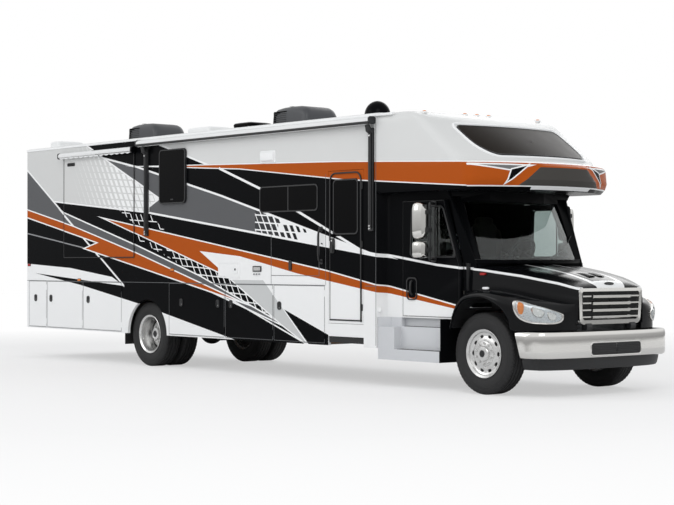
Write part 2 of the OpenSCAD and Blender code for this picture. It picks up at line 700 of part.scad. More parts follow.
module roof_air_conditioners() {
    base = wall_top + 20;
    color([0.2, 0.2, 0.21]) difference() {
        for (x = [-3945, 20]) translate([x, 0, 0])
            slab_y(-310, 310) polygon([[-410, base], [410, base], [400, 3700], [340, 3910], [300, 3925],
                [-330, 3925], [-400, 3880]]);
        roof_solid();
    }
}
dish_x = 1650;
dish_r = 225;
module roof_vents() {
    base = wall_top + 20;
    color("whitesmoke") difference() {
        union() {
            box([-2700, -250, base], [-2100, 250, 3770]);
            box([-1500, -225, base], [-1060, 225, 3775]);
            box([-5750, -1000, base], [-5450, -500, 3690]);
            translate([dish_x, 0, base]) cylinder(r = dish_r, h = 130);
        }
        roof_solid();
    }
    color("dimgray") translate([dish_x, 0, base + 129]) rotate_extrude() intersection() {
        circle(dish_r);
        square(dish_r + 1);
    }
}
module mud_flaps() {
    color([0.1, 0.1, 0.1]) both_sides()
        box([-3010 + seat_gap, 600, 320], [-3000 + seat_gap, 1225, skirt_z + 300]);
}

// ---------- doors ----------
module cab_door(s) {
    color([0.05, 0.05, 0.06]) side(s) difference() {
        slab_y(cab_half_w - cab_wall_t, cab_half_w) difference() {
            door_outline();
            door_window();
        }
        barrels(door_front, cab_half_w, 1120, 1500, seat_gap);
    }
}
module cab_door_glass(s) {
    color([0.2, 0.24, 0.25, 0.5]) side(s) slab_y(cab_half_w - 30, cab_half_w - 24) door_window();
}
mirror_y = cab_half_w + 190;
module mirror_head() {
    polygon([[3930, mirror_y - 80], [3990, mirror_y - 85], [4060, mirror_y - 50], [4080, mirror_y + 25],
        [4060, mirror_y + 100], [3990, mirror_y + 135], [3930, mirror_y + 130]]);
}
module cab_mirror(s) {
    color("silver") side(s) {
        for (z = [1635, 2335]) box([3995, cab_half_w + seat_gap, z], [4025, mirror_y, z + 30]);
        box([3995, mirror_y - 30, 1635], [4025, mirror_y, 2365]);
        slab_z(1900, 2365) mirror_head();
        slab_z(1665, 1880) mirror_head();
    }
}
module entry_door() {
    color([0.05, 0.05, 0.06]) side(RIGHT) difference() {
        slab_y(inner_w, half_w) difference() {
            window_box(entry_opening);
            rounded(entry_window, 40);
        }
        entry_barrels(seat_gap);
    }
}
module entry_door_glass() {
    color([0.1, 0.1, 0.1, 0.6]) side(RIGHT) slab_y(half_w - 25, half_w - 19) rounded(entry_window, 40);
}
module locker_door(s, w) {
    color("whitesmoke") side(s) difference() {
        slab_y(inner_w, half_w) locker_rect(w);
        locker_barrels(w, seat_gap);
    }
}

slide_skin = 40;
right_slide_depth = 620;
left_slide_depth = 900;
flange_t = 12;
module slide_room(s, w, depth, window) {
    color("whitesmoke") side(s) difference() {
        union() {
            slab_y(half_w - depth, half_w + seat_gap + flange_t) window_box(w);
            slab_y(half_w + seat_gap, half_w + seat_gap + flange_t) window_box(w, 30);
        }
        slab_y(half_w - depth - 1, half_w - slide_skin) window_box(w, -slide_skin);
        if (window) slab_y(half_w - 100, half_w + 100) rounded(window, 40);
    }
}
module right_slide_room() {
    slide_room(RIGHT, right_slide_opening, right_slide_depth, false);
    // roller of the topper fabric on the room's upper flange
    color("whitesmoke") side(RIGHT)
        slab_x(right_slide_opening[0] - 100, right_slide_opening[2] + 90)
            polygon([[half_w + 10, 3330], [half_w + 70, 3320], [half_w + 100, 3350], [half_w + 95, 3400],
                [half_w + 60, 3425], [half_w + 10, 3425]]);
}
module left_slide_room() { slide_room(LEFT, left_slide_opening, left_slide_depth, left_slide_glass); }
module left_slide_window() {
    color([0.05, 0.05, 0.05]) side(LEFT) slab_y(half_w - 20, half_w + 18) rounded(left_slide_glass, 40);
}
module entry_step() {
    color([0.1, 0.1, 0.1]) box([entry_opening[0] + slide_gap, 10 - half_w, step_low],
        [entry_opening[2] - slide_gap, -750, step_high]);
}

chassis_frame();
front_axle();
rear_axle();
leaf_springs();
drive_shaft();
engine();
front_bumper();
bumper_valance();
cab_shell();
windshield();
dashboard();
cab_seats();
cab_steps();
coach_floor();
basement();
right_wall();
left_wall();
coach_roof();
rear_wall();
bunk_cap();
coach_windows();
awning();
roof_air_conditioners();
roof_vents();
mud_flaps();
hood();
grille();
headlights();
cab_door(RIGHT);  // right_cab_door
cab_door(LEFT);  // left_cab_door
cab_door_glass(RIGHT);  // right_door_glass
cab_door_glass(LEFT);  // left_door_glass
cab_mirror(RIGHT);  // right_mirror
cab_mirror(LEFT);  // left_mirror
entry_door();
entry_door_glass();
right_slide_room();
left_slide_room();
left_slide_window();
entry_step();
knuckle(RIGHT);  // right_knuckle
knuckle(LEFT);  // left_knuckle
front_tyre(RIGHT);  // front_right_tyre
front_tyre(LEFT);  // front_left_tyre
front_rim(RIGHT);  // front_right_rim
front_rim(LEFT);  // front_left_rim
rear_tyre_pair(RIGHT);  // rear_right_tyres
rear_tyre_pair(LEFT);  // rear_left_tyres
rear_rim_pair(RIGHT);  // rear_right_rims
rear_rim_pair(LEFT);  // rear_left_rims
locker_door(RIGHT, right_lockers[0]);  // right_locker_door_1
locker_door(RIGHT, right_lockers[1]);  // right_locker_door_2
locker_door(RIGHT, right_lockers[2]);  // right_locker_door_3
locker_door(RIGHT, right_lockers[3]);  // right_locker_door_4
locker_door(RIGHT, right_lockers[4]);  // right_locker_door_5
locker_door(RIGHT, right_lockers[5]);  // right_locker_door_6
locker_door(LEFT, left_lockers[0]);  // left_locker_door_1
locker_door(LEFT, left_lockers[1]);  // left_locker_door_2
locker_door(LEFT, left_lockers[2]);  // left_locker_door_3
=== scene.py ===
"""A long motorhome on a truck chassis: its paint, glass, metal, rubber and cloth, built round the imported
frame."""

import json
import math

import bmesh
import bpy
import numpy as np
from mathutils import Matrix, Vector

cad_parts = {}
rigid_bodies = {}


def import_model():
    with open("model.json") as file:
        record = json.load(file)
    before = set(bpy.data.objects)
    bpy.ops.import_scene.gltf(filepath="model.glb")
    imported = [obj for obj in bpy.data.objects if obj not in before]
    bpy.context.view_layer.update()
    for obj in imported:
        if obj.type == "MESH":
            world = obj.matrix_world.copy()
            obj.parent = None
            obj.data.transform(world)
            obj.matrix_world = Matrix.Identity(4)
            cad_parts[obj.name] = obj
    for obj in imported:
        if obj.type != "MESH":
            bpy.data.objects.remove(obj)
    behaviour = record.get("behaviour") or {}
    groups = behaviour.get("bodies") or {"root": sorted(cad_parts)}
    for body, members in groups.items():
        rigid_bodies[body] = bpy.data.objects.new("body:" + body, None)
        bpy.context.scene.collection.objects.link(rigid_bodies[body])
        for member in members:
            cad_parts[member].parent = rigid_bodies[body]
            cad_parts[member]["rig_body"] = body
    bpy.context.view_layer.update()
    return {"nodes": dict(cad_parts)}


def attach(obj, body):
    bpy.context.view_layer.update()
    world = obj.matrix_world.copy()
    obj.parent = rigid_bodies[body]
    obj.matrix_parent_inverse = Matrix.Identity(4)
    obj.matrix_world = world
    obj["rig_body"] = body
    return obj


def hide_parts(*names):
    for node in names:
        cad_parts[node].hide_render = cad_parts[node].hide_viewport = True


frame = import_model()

VEHICLE = "vehicle"
HALF = 1.2825  # half the width over the coach walls
TAIL = -6.02  # the coach's rear face
CAB_HALF = 1.13  # half the width over the cab doors
SEAM = 0.0004  # a new skin stands this far off the frame's own face
ROOM = 0.012  # the slide-out rooms stand this far proud of the walls
PANEL_LINE = (1.298, 1.306)  # heights of the seam between the walls and the lockers
SIDES = (-1, 1)
FLIP = (1, -1, 1)  # turns the right side into the left


# ---------- surfaces ----------
def cells(rows, columns, round_rows=False, round_columns=False):
    """Faces of a grid of points: cell (i, j) joins (i, j), (i + 1, j), (i + 1, j + 1) and (i, j + 1)."""
    i, j = np.meshgrid(np.arange(rows - (not round_rows)), np.arange(columns - (not round_columns)),
                       indexing="ij")
    k, l = (i + 1) % rows, (j + 1) % columns
    corners = np.stack([i * columns + j, k * columns + j, k * columns + l, i * columns + l], -1)
    return corners.reshape(-1, 4).tolist()


def curve(points, count):
    """A smooth line through points: Catmull-Rom cubics along the first axis, sampled at count even places."""
    points = np.asarray(points, float)
    run = np.concatenate([2 * points[:1] - points[1:2], points, 2 * points[-1:] - points[-2:-1]])
    place = np.linspace(0, len(points) - 1 - 1e-9, count)
    i = place.astype(int)
    f = (place - i).reshape(-1, *[1] * (points.ndim - 1))
    a, b, c, d = (run[i + k] for k in range(4))
    return 0.5 * (2 * b + (c - a) * f + (2 * a - 5 * b + 4 * c - d) * f**2 + (3 * b - a - 3 * c + d) * f**3)


def net(control, rows, columns):
    """A smooth surface through a net of points: cubics through its rows, then through its columns."""
    half = curve(control, rows)
    return curve(half.swapaxes(0, 1), columns).swapaxes(0, 1)


def around(steps):
    """Even angles once round, the last short of the first."""
    return np.arange(steps) * 2 * np.pi / steps


def blunt(wave, power):
    """A sine or cosine raised to a power with its sign kept: square corners near 0, round ones at 1."""
    return np.sign(wave) * np.abs(wave) ** power


def rounded(x0, z0, x1, z1, radius, steps=6):
    """Outline of a rectangle whose corners are arcs, of one radius or of four from the top right one
    round."""
    turn = np.linspace(0, np.pi / 2, steps)
    arcs = []
    for quarter, r in enumerate(np.broadcast_to(radius, 4)):
        middle = [x1 - r if quarter in (0, 3) else x0 + r, z1 - r if quarter < 2 else z0 + r]
        angle = turn + quarter * np.pi / 2
        arcs.append(np.stack([middle[0] + r * np.cos(angle), middle[1] + r * np.sin(angle)], 1))
    return np.vstack(arcs)


def inset(box, depth, radius):
    """Rounded outline of a box of (x0, z0, x1, z1) drawn in by a depth, or grown by a negative one."""
    x0, z0, x1, z1 = box
    return rounded(x0 + depth, z0 + depth, x1 - depth, z1 - depth, radius)


def at(outline, level, axis):
    """An outline's two coordinates with the third put in at a level."""
    return np.insert(np.asarray(outline, float), axis, level, axis=1)


def swept(plan, profile):
    """A profile of (depth, height) points carried along a plan; depth is measured outward, square to the
    plan."""
    ahead = np.gradient(plan, axis=0)
    ahead /= np.linalg.norm(ahead, axis=1, keepdims=True)
    out = np.stack([ahead[:, 1], -ahead[:, 0]], 1)
    depth, height = np.array(profile).T
    flat = plan[:, None] + out[:, None] * depth[:, None]
    return np.dstack([flat, np.broadcast_to(height, flat.shape[:2])]), out


class Form:
    """One piece in the making. Surfaces are added to it, each with the number of its finish."""

    def __init__(self):
        """Empty lists; size counts the points so far."""
        self.points, self.faces, self.finishes = [], [], []
        self.size = 0

    def add(self, points, faces, finish=0):
        """Points and faces joined on, each corner's number raised by the points already there."""
        points = np.asarray(points, float).reshape(-1, 3)
        self.points.append(points)
        self.faces += [[corner + self.size for corner in face] for face in faces]
        self.finishes += [finish] * len(faces)
        self.size += len(points)
        return self

    def loft(self, sections, finish=0, ring=False, caps=True):
        """Closed loops of points joined each to the next; the first and last are closed by a face."""
        sections = np.asarray(sections, float)
        k, m = sections.shape[:2]
        faces = cells(k, m, ring, True)
        if caps and not ring:
            faces += [list(range(m))[::-1], list(range((k - 1) * m, k * m))]
        return self.add(sections, faces, finish)

    def skin(self, sections, finish=0):
        """Closed loops of points joined each to the next, open at both ends."""
        return self.loft(sections, finish, caps=False)

    def sheet(self, grid, finish=0):
        """An open grid of points."""
        return self.add(grid, cells(*np.shape(grid)[:2]), finish)

    def prism(self, outline, low, high, axis=1, finish=0):
        """An outline carried straight along an axis, from low to high."""
        return self.loft([at(outline, low, axis), at(outline, high, axis)], finish)

    def block(self, x0, z0, x1, z1, low, high, axis=1, finish=0):
        """A rectangle carried straight along an axis."""
        return self.prism([(x0, z0), (x1, z0), (x1, z1), (x0, z1)], low, high, axis, finish)

    def plate(self, x0, z0, x1, z1, radius, low, high, axis=1, finish=0, steps=6):
        """A rectangle with rounded corners carried straight along an axis."""
        return self.prism(rounded(x0, z0, x1, z1, radius, steps), low, high, axis, finish)

    def hoop(self, outer, inner, low, high, axis=1, finish=0):
        """A flat frame between two outlines that have as many points."""
        loops = [at(outer, low, axis), at(outer, high, axis), at(inner, high, axis), at(inner, low, axis)]
        return self.loft(loops, finish, ring=True)

    def tube(self, path, radius, finish=0, sides=10, up=(0, 0, 1), ring=False):
        """A circle carried along a path: at each point it stands square to the path and to one fixed
        direction."""
        path = np.asarray(path, float)
        ahead = np.roll(path, -1, 0) - np.roll(path, 1, 0) if ring else np.gradient(path, axis=0)
        ahead /= np.linalg.norm(ahead, axis=1, keepdims=True)
        across = np.cross(ahead, up)
        across /= np.linalg.norm(across, axis=1, keepdims=True)
        over = np.cross(across, ahead)
        turn = around(sides)[:, None]
        circle = np.cos(turn) * across[:, None] + np.sin(turn) * over[:, None]
        radius = np.broadcast_to(radius, len(path))[:, None, None]
        return self.loft(path[:, None] + radius * circle, finish, ring)

    def lathe(self, profile, centre, axis=1, finish=0, steps=64):
        """A profile of (radius, distance along) points turned about an axis through centre."""
        radius, along = np.asarray(profile, float).T
        turn = around(steps)
        grid = np.stack([radius[:, None] * np.cos(turn), radius[:, None] * np.sin(turn)], -1).reshape(-1, 2)
        points = np.insert(grid, axis, np.repeat(along, steps), axis=1) + centre
        return self.add(points, cells(len(radius), steps, False, True), finish)

    def pebble(self, centre, half, square=0.35, finish=0, across=28, up=18):
        """A rounded block: a sphere's sines and cosines raised to a power, a sphere at 1 and a brick near
        0."""
        u = around(across)
        v = np.linspace(-np.pi / 2, np.pi / 2, up)[:, None]
        belt = blunt(np.cos(v), square)
        shape = np.stack([belt * blunt(np.cos(u), square), belt * blunt(np.sin(u), square),
                          blunt(np.sin(v), square) + 0 * u], -1)
        return self.add(shape * half + centre, cells(up, across, False, True), finish)

    def mirrored(self):
        """The same surfaces again on the other side of the middle line."""
        self.points += [points * FLIP for points in self.points]
        self.faces += [[corner + self.size for corner in face[::-1]] for face in self.faces]
        self.finishes *= 2
        self.size *= 2
        return self

    def build(self, name, body, finishes, slot=None, replaces=None, left=False, bevel=0.0, smooth=35,
              outward=True):
        """Puts the surfaces into a mesh at the origin, on the left side where asked."""
        points, faces = np.vstack(self.points), self.faces
        if left:
            points, faces = points * FLIP, [face[::-1] for face in faces]
        mesh = bpy.data.meshes.new(name)
        mesh.from_pydata(points.tolist(), [], faces)
        mesh.polygons.foreach_set("material_index", np.array(self.finishes, np.int32))
        for finish in finishes if isinstance(finishes, tuple) else [finishes]:
            mesh.materials.append(finish)
        return settle(mesh, name, body, replaces, bevel, smooth, outward)


def settle(mesh, name, body, replaces=None, bevel=0.0, smooth=35, outward=True):
    """Merges near points, turns faces outward, smooths below an angle, eases edges and rides the piece on
    its body."""
    work = bmesh.new()
    work.from_mesh(mesh)
    bmesh.ops.remove_doubles(work, verts=work.verts, dist=1e-5)
    if outward:
        bmesh.ops.recalc_face_normals(work, faces=work.faces)
    work.to_mesh(mesh)
    work.free()
    mesh.shade_smooth()
    mesh.set_sharp_from_angle(angle=math.radians(smooth))
    piece = bpy.data.objects.new(name, mesh)
    bpy.context.scene.collection.objects.link(piece)
    if bevel:
        edge = piece.modifiers.new("edge", "BEVEL")
        edge.width, edge.segments, edge.limit_method = bevel, 2, "ANGLE"
        edge.angle_limit = math.radians(30)
        edge.harden_normals = True
    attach(piece, body)
    if replaces:
        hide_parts(replaces)
    return piece


def softened(node, finish, width):
    """A copy of a frame node with its edges eased: merged, its flat faces joined, and beveled."""
    source = frame["nodes"][node]
    mesh = source.data.copy()
    dress(mesh, finish)
    work = bmesh.new()
    work.from_mesh(mesh)
    bmesh.ops.remove_doubles(work, verts=work.verts, dist=1e-5)
    bmesh.ops.dissolve_limit(work, angle_limit=math.radians(2), verts=work.verts, edges=work.edges)
    work.to_mesh(mesh)
    work.free()
    return settle(mesh, node + "_skin", source["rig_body"], replaces=node, bevel=width, outward=False)


# ---------- finishes ----------
def dress(mesh, finish):
    """Gives a mesh one finish."""
    mesh.materials.clear()
    mesh.materials.append(finish)


def tone(red, green, blue):
    """A display colour of 0 to 255 as the linear one that shaders take."""
    share = np.array([red, green, blue]) / 255
    linear = np.where(share <= 0.04045, share / 12.92, ((share + 0.055) / 1.055) ** 2.4)
    return (*linear.tolist(), 1.0)


def node(tree, kind, inputs=None, **settings):
    """A shader node with its settings, its numbers and its links."""
    made = tree.nodes.new("ShaderNode" + kind)
    for key, value in settings.items():
        setattr(made, key, value)
    for key, value in (inputs or {}).items():
        if isinstance(value, bpy.types.NodeSocket):
            tree.links.new(value, made.inputs[key])
        else:
            made.inputs[key].default_value = value
    return made


def group(name, inputs, outputs):
    """An empty node group with named sockets, and its input sockets inside and its output node."""
    tree = bpy.data.node_groups.new(name, "ShaderNodeTree")
    for names, way in ((inputs, "INPUT"), (outputs, "OUTPUT")):
        for label, kind in names.items():
            tree.interface.new_socket(name=label, in_out=way, socket_type="NodeSocket" + kind)
    return tree, tree.nodes.new("NodeGroupInput").outputs, tree.nodes.new("NodeGroupOutput").inputs


def sums(tree, operation, *values):
    """A chain of one arithmetic operation over two or more values."""
    result = values[0]
    for value in values[1:]:
        result = node(tree, "Math", {0: result, 1: value}, operation=operation).outputs[0]
    return result


def single(tree, operation, value):
    """One arithmetic operation on one value."""
    return node(tree, "Math", {0: value}, operation=operation).outputs[0]


def ramp(tree, value, low, high, first=0.0, last=1.0):
    """Goes from a first level to a last one while a value goes from low to high."""
    return node(tree, "MapRange", {"Value": value, "From Min": low, "From Max": high, "To Min": first,
                                   "To Max": last}).outputs["Result"]


def flat_place(tree, along, height):
    """Two coordinates as the vector (along, 1, height), on which a line's distance is a single dot
    product."""
    return node(tree, "CombineXYZ", {"X": along, "Y": 1.0, "Z": height}).outputs[0]


def blend_of(tree, share, first, second):
    """First colour at share 0, second at share 1."""
    return node(tree, "Mix", {0: share, 6: first, 7: second}, data_type="RGBA").outputs[2]


def paint_group(name):
    """A group from a place to a colour: its tree, the place whole and in three parts, and the colour's
    socket."""
    tree, given, out = group(name, {"Vector": "Vector"}, {"Color": "Color"})
    parts = node(tree, "SeparateXYZ", {0: given["Vector"]}).outputs
    return tree, given["Vector"], parts["X"], parts["Y"], parts["Z"], out["Color"]


def painted(tree, vector, paint):
    """The colour of another paint group at a place."""
    return node(tree, "Group", {"Vector": vector}, node_tree=paint).outputs["Color"]


def grain_group():
    """Unevenness of a real surface: cloudy noise shades the colour, finer noise the roughness and a
    height."""
    tree, given, out = group("grain", {"Vector": "Vector", "Color": "Color", "Roughness": "Float",
                                       "Scale": "Float", "Shade": "Float", "Rub": "Float"},
                             {"Color": "Color", "Roughness": "Float", "Height": "Float"})
    cloud = node(tree, "TexNoise", {"Vector": given["Vector"], "Scale": 1.7, "Detail": 3.0}).outputs["Fac"]
    fine = node(tree, "TexNoise", {"Vector": given["Vector"], "Scale": given["Scale"],
                                   "Detail": 3.0}).outputs["Fac"]
    both = sums(tree, "ADD", cloud, fine, -1.0)
    level = sums(tree, "ADD", sums(tree, "MULTIPLY", both, given["Shade"]), 1.0)
    shaded = node(tree, "VectorMath", {0: given["Color"], "Scale": level}, operation="SCALE")
    rubbed = sums(tree, "MULTIPLY", sums(tree, "SUBTRACT", fine, 0.5), given["Rub"])
    tree.links.new(shaded.outputs[0], out["Color"])
    tree.links.new(sums(tree, "ADD", given["Roughness"], rubbed), out["Roughness"])
    tree.links.new(fine, out["Height"])
    return tree


GRAIN = grain_group()


def finish(name, colour, roughness=0.4, grain=(60, 0.06, 0.08, 0.0), **sockets):
    """A material: its colour or paint group through the shared grain, and plain numbers on the shader."""
    material = bpy.data.materials.new(name)
    material.use_nodes = True
    tree = material.node_tree
    shader = tree.nodes["Principled BSDF"]
    place = node(tree, "TexCoord").outputs["Object"]
    scale, shade, rub, bump = grain
    if isinstance(colour, bpy.types.NodeTree):
        colour = painted(tree, place, colour)
    mixed = node(tree, "Group", {"Vector": place, "Color": colour, "Roughness": roughness, "Scale": scale,
                                 "Shade": shade, "Rub": rub}, node_tree=GRAIN)
    tree.links.new(mixed.outputs["Color"], shader.inputs["Base Color"])
    tree.links.new(mixed.outputs["Roughness"], shader.inputs["Roughness"])
    if bump:
        raised = node(tree, "Bump", {"Height": mixed.outputs["Height"], "Strength": bump, "Distance": 0.002})
        tree.links.new(raised.outputs["Normal"], shader.inputs["Normal"])
    for label, value in sockets.items():
        shader.inputs[label.replace("_", " ")].default_value = value
    return material


BLACK = tone(11, 12, 14)
WHITE = tone(245, 246, 246)
PALE = tone(213, 214, 213)
GREY = tone(98, 99, 101)
ORANGE = tone(178, 84, 27)
LIVERY_START = 0.045  # stripe points are measured from 45 mm behind the frame's origin
LIVERY_TAIL = -6.07  # where the stripes run out at the tail


class Artwork:
    """Flat shapes laid over one another in a node group. A shape is a distance, above zero inside it."""

    def __init__(self, tree, flat, ground, start=0.0):
        """Starts from a ground colour; x counts from start."""
        self.tree, self.flat, self.colour, self.start = tree, flat, ground, start

    def edge(self, x0, z0, x1, z1):
        """Distance to the left of the line from the first point to the second."""
        x0, x1 = x0 + self.start, x1 + self.start
        length = math.hypot(x1 - x0, z1 - z0)
        a, b = (z0 - z1) / length, (x1 - x0) / length
        return node(self.tree, "VectorMath", {0: self.flat, 1: (a, -a * x0 - b * z0, b)},
                    operation="DOT_PRODUCT").outputs["Value"]

    def edges(self, *points):
        """Distances to the left of each stretch of a line through points."""
        return [self.edge(*a, *b) for a, b in zip(points, points[1:])]

    def below(self, z):
        """Distance under a level line."""
        return self.edge(1, z, 0, z)

    def ahead(self, x):
        """Distance in front of an upright line."""
        return self.edge(x, 1, x, 0)

    def behind(self, x):
        """Distance behind an upright line."""
        return self.edge(x, 0, x, 1)

    def least(self, *distances):
        """Smallest of some distances: inside all the shapes at once."""
        return sums(self.tree, "MINIMUM", *distances)

    def most(self, *distances):
        """Largest of some distances: inside any of the shapes."""
        return sums(self.tree, "MAXIMUM", *distances)

    def times(self, *values):
        """Product of values."""
        return sums(self.tree, "MULTIPLY", *values)

    def minus(self, *values):
        """First value less the others."""
        return sums(self.tree, "SUBTRACT", *values)

    def over(self, value, limit=0.0):
        """1 where a value is above a limit, else 0."""
        return sums(self.tree, "GREATER_THAN", value, limit)

    def under(self, value, limit):
        """1 where a value is under a limit, else 0."""
        return sums(self.tree, "LESS_THAN", value, limit)

    def cover(self, share, colour):
        """Covers what is there by a share of 0 to 1."""
        self.colour = blend_of(self.tree, share, self.colour, colour)

    def lay(self, distance, colour, outline=0.0):
        """Lays a shape over what is there, with a white outline where one is asked for."""
        if outline:
            self.cover(self.over(distance, -outline), WHITE)
        self.cover(self.over(distance), colour)

    def line(self, x0, z0, x1, z1, width, colour=WHITE):
        """A straight line of a width, from one point to another."""
        off = single(self.tree, "ABSOLUTE", self.edge(x0, z0, x1, z1))
        inside = self.minus(width / 2, off)
        self.lay(self.least(inside, self.ahead(x0), self.behind(x1)), colour)


def livery_group():
    """The stripes of the side: long pointed shapes in black, greys and copper with white outlines, and three
    broken meshes of slanted cells."""
    tree, _, along, _, height, colour = paint_group("livery")
    art = Artwork(tree, flat_place(tree, along, height), BLACK, LIVERY_START)
    edge, edges, least, most, lay, line = art.edge, art.edges, art.least, art.most, art.lay, art.line
    times, minus, over, under, cover = art.times, art.minus, art.over, art.under, art.cover

    # slanted cells: columns lean backward, rows are nearly level, and each cell has its own chance
    column = times(sums(tree, "ADD", along, times(height, 0.6)), 7.5)
    row = times(sums(tree, "ADD", height, times(along, 0.06)), 9.5)
    across, up = single(tree, "FRACT", column), single(tree, "FRACT", row)
    number = node(tree, "CombineXYZ", {"X": single(tree, "FLOOR", column), "Y": single(tree, "FLOOR", row)})
    chance = node(tree, "TexWhiteNoise", {"Vector": number.outputs[0]},
                  noise_dimensions="3D").outputs["Value"]
    rows_open = over(least(up, minus(1.0, up)), 0.09)
    broken = most(under(across, 0.16), under(up, 0.14))

    def fade(low, high):
        """Goes from 0 to 1 between two places along the side."""
        return ramp(tree, along, low, high)

    grey_wing = least(*edges((2.78, 1.75), (-0.4, 2.57), (-2.64, 3.09), (-3.58, 3.27)),
                      edge(-2.25, 2.39, 2.78, 1.745))
    lay(grey_wing, GREY, 0.03)
    taper = times(over(grey_wing), over(fade(0.45, 0.5), 0.5))
    wide = over(minus(0.92, times(fade(0.4, 2.2), 0.75)), across)
    dark_cells = times(wide, times(rows_open, over(chance, fade(1.0, 2.15))))
    cover(taper, blend_of(tree, fade(0.5, 1.5), tone(70, 71, 73), tone(30, 31, 33)))
    cover(times(taper, minus(1.0, dark_cells)), WHITE)

    # broken mesh between the grey wing and the copper wing
    strip = least(edge(2.78, 1.70, -2.25, 2.36), edge(-1.75, 2.04, -2.75, 2.65), edge(-2.85, 2.3, -2.2, 1.95),
                  edge(-3.49, 2.33, 2.04, 1.52))
    cover(times(over(strip), times(broken, over(chance, 0.35))), WHITE)

    back_edge = edge(LIVERY_TAIL, 3.20, -2.99, 1.24)
    pale = most(least(back_edge, edge(-5.10, 2.64, -2.30, 2.395), edge(-2.36, 2.74, -3.58, 3.27),
                      art.behind(-2.30)), least(edge(-2.02, 2.59, -2.36, 2.735),
                                                edge(-2.36, 2.45, -2.02, 2.59), art.ahead(-2.36)))
    lay(pale, PALE, 0.024)
    quads = times(over(times(fade(-4.7, -2.2), 0.85), across), rows_open)
    cover(times(times(over(pale), quads), fade(-4.6, -3.2)), WHITE)

    top_panel = least(most(*edges((-1.27, 3.06), (2.27, 2.95), (4.70, 2.84))), edge(-1.85, 3.39, -0.71, 3.06))
    lay(top_panel, tone(221, 222, 221), 0.03)
    copper_top = least(*edges((4.70, 2.84), (2.27, 2.95), (-1.27, 3.06)),
                       most(*edges((-1.27, 3.04), (0.07, 2.96), (2.08, 2.75))), edge(2.81, 2.69, 5.28, 2.52))
    lay(copper_top, ORANGE, 0.014)
    line(-0.44, 2.985, 0.62, 2.63, 0.035)
    line(0.62, 2.63, 2.80, 1.742, 0.035)

    # black strip with its mesh, then the bands below it
    mesh_strip = least(edge(-0.25, 1.42, -3.49, 2.30), edge(-2.75, 1.92, 1.05, 0.76), art.ahead(-2.6),
                       edge(1.05, 0.75, -0.93, 1.78), edge(-0.92, 1.41, 1.05, 0.76))
    dense = times(broken, over(chance, minus(0.75, times(fade(-2.6, -0.6), 0.75))))
    cover(times(over(mesh_strip), dense), WHITE)
    back_wedge = least(edge(-2.99, 1.24, LIVERY_TAIL, 3.20), edge(LIVERY_TAIL, 2.51, -4.48, 2.19))
    grey_band = least(*edges((1.05, 0.75), (-0.92, 1.40), (-2.75, 1.90), (-4.83, 2.43)),
                      edge(-4.48, 2.19, 1.05, 0.75), back_edge)
    lay(back_wedge, GREY)
    lay(grey_band, GREY, 0.022)

    doors_white = most(least(*edges((-2.99, 1.24), (-3.35, 1.38), (-4.63, 1.52), (-6.06, 1.59)),
                             edge(-5.79, 1.43, -2.99, 1.24)),
                       least(*edges((-0.06, 0.50), (-2.64, 0.98), (-4.29, 1.24), (-5.79, 1.43))))
    lay(doors_white, WHITE)
    strip_end = edges((-0.93, 1.78), (1.05, 0.75), (1.62, 0.49))
    front_white = least(edge(0.07, 1.70, -0.93, 1.78), most(*edges((4.51, 1.01), (1.39, 1.46), (0.07, 1.70))),
                        *strip_end)
    lay(front_white, WHITE, 0.02)
    lay(least(*strip_end, edge(1.53, 0.56, 0.62, 1.36), art.below(1.36)), tone(205, 207, 207))
    lay(least(edge(2.18, 0.60, 1.10, 0.96), edge(1.10, 0.96, 1.65, 0.49), art.behind(2.06)), BLACK)
    line(LIVERY_TAIL, 3.20, -2.99, 1.24, 0.032)
    line(-6.06, 2.11, -4.19, 1.85, 0.02, tone(150, 151, 153))
    line(-0.3, 1.128, 1.62, 0.49, 0.022)

    copper_low = least(*edges((-0.33, 1.15), (-2.75, 1.78), (-4.48, 2.19), (LIVERY_TAIL, 2.51)),
                       most(edge(-6.06, 2.39, -3.73, 1.93),
                            least(*edges((-3.73, 1.93), (-4.14, 1.84), (-0.28, 1.12)))))
    lay(copper_low, ORANGE, 0.02)
    copper_wing = least(*edges((4.53, 1.04), (2.04, 1.49), (-3.49, 2.30), (-0.25, 1.42)),
                        most(*edges((-0.25, 1.42), (-0.93, 1.78), (0.07, 1.70)),
                             least(*edges((0.07, 1.70), (1.39, 1.46), (4.51, 1.01)))))
    lay(copper_wing, ORANGE, 0.018)
    line(2.76, 1.752, 4.02, 1.58, 0.03)
    line(4.02, 1.58, 5.3, 1.463, 0.03)
    tree.links.new(art.colour, colour)
    return tree


LIVERY = livery_group()
GLOSS = {"Specular_IOR_Level": 0.03}
FINE_GRAIN = (300, 0.02, 0.05, 0.02)
MOULDED_GRAIN = (220, 0.025, 0.08, 0.03)
side_paint = finish("side_paint", LIVERY, 0.25, FINE_GRAIN, **GLOSS)
black_paint = finish("black_paint", BLACK, 0.18, (300, 0.03, 0.05, 0.01), **GLOSS)
gelcoat = finish("gelcoat", WHITE, 0.3, MOULDED_GRAIN, **GLOSS)
roof_skin = finish("roof_skin", tone(226, 227, 226), 0.55, (90, 0.05, 0.1, 0.15))
dark_glass = finish("dark_glass", tone(12, 12, 13), 0.1, (30, 0.05, 0.02, 0.0), Specular_IOR_Level=0.04)
nose_glass = finish("nose_glass", tone(33, 28, 24), 0.3, (4, 0.25, 0.1, 0.0), Specular_IOR_Level=0.02)
dark_plastic = finish("dark_plastic", tone(24, 25, 27), 0.5, (500, 0.08, 0.12, 0.25))
chassis_black = finish("chassis_black", tone(22, 23, 24), 0.6, (180, 0.15, 0.15, 0.2))
casting = finish("casting", tone(70, 72, 74), 0.55, (240, 0.2, 0.2, 0.5), Metallic=0.6)
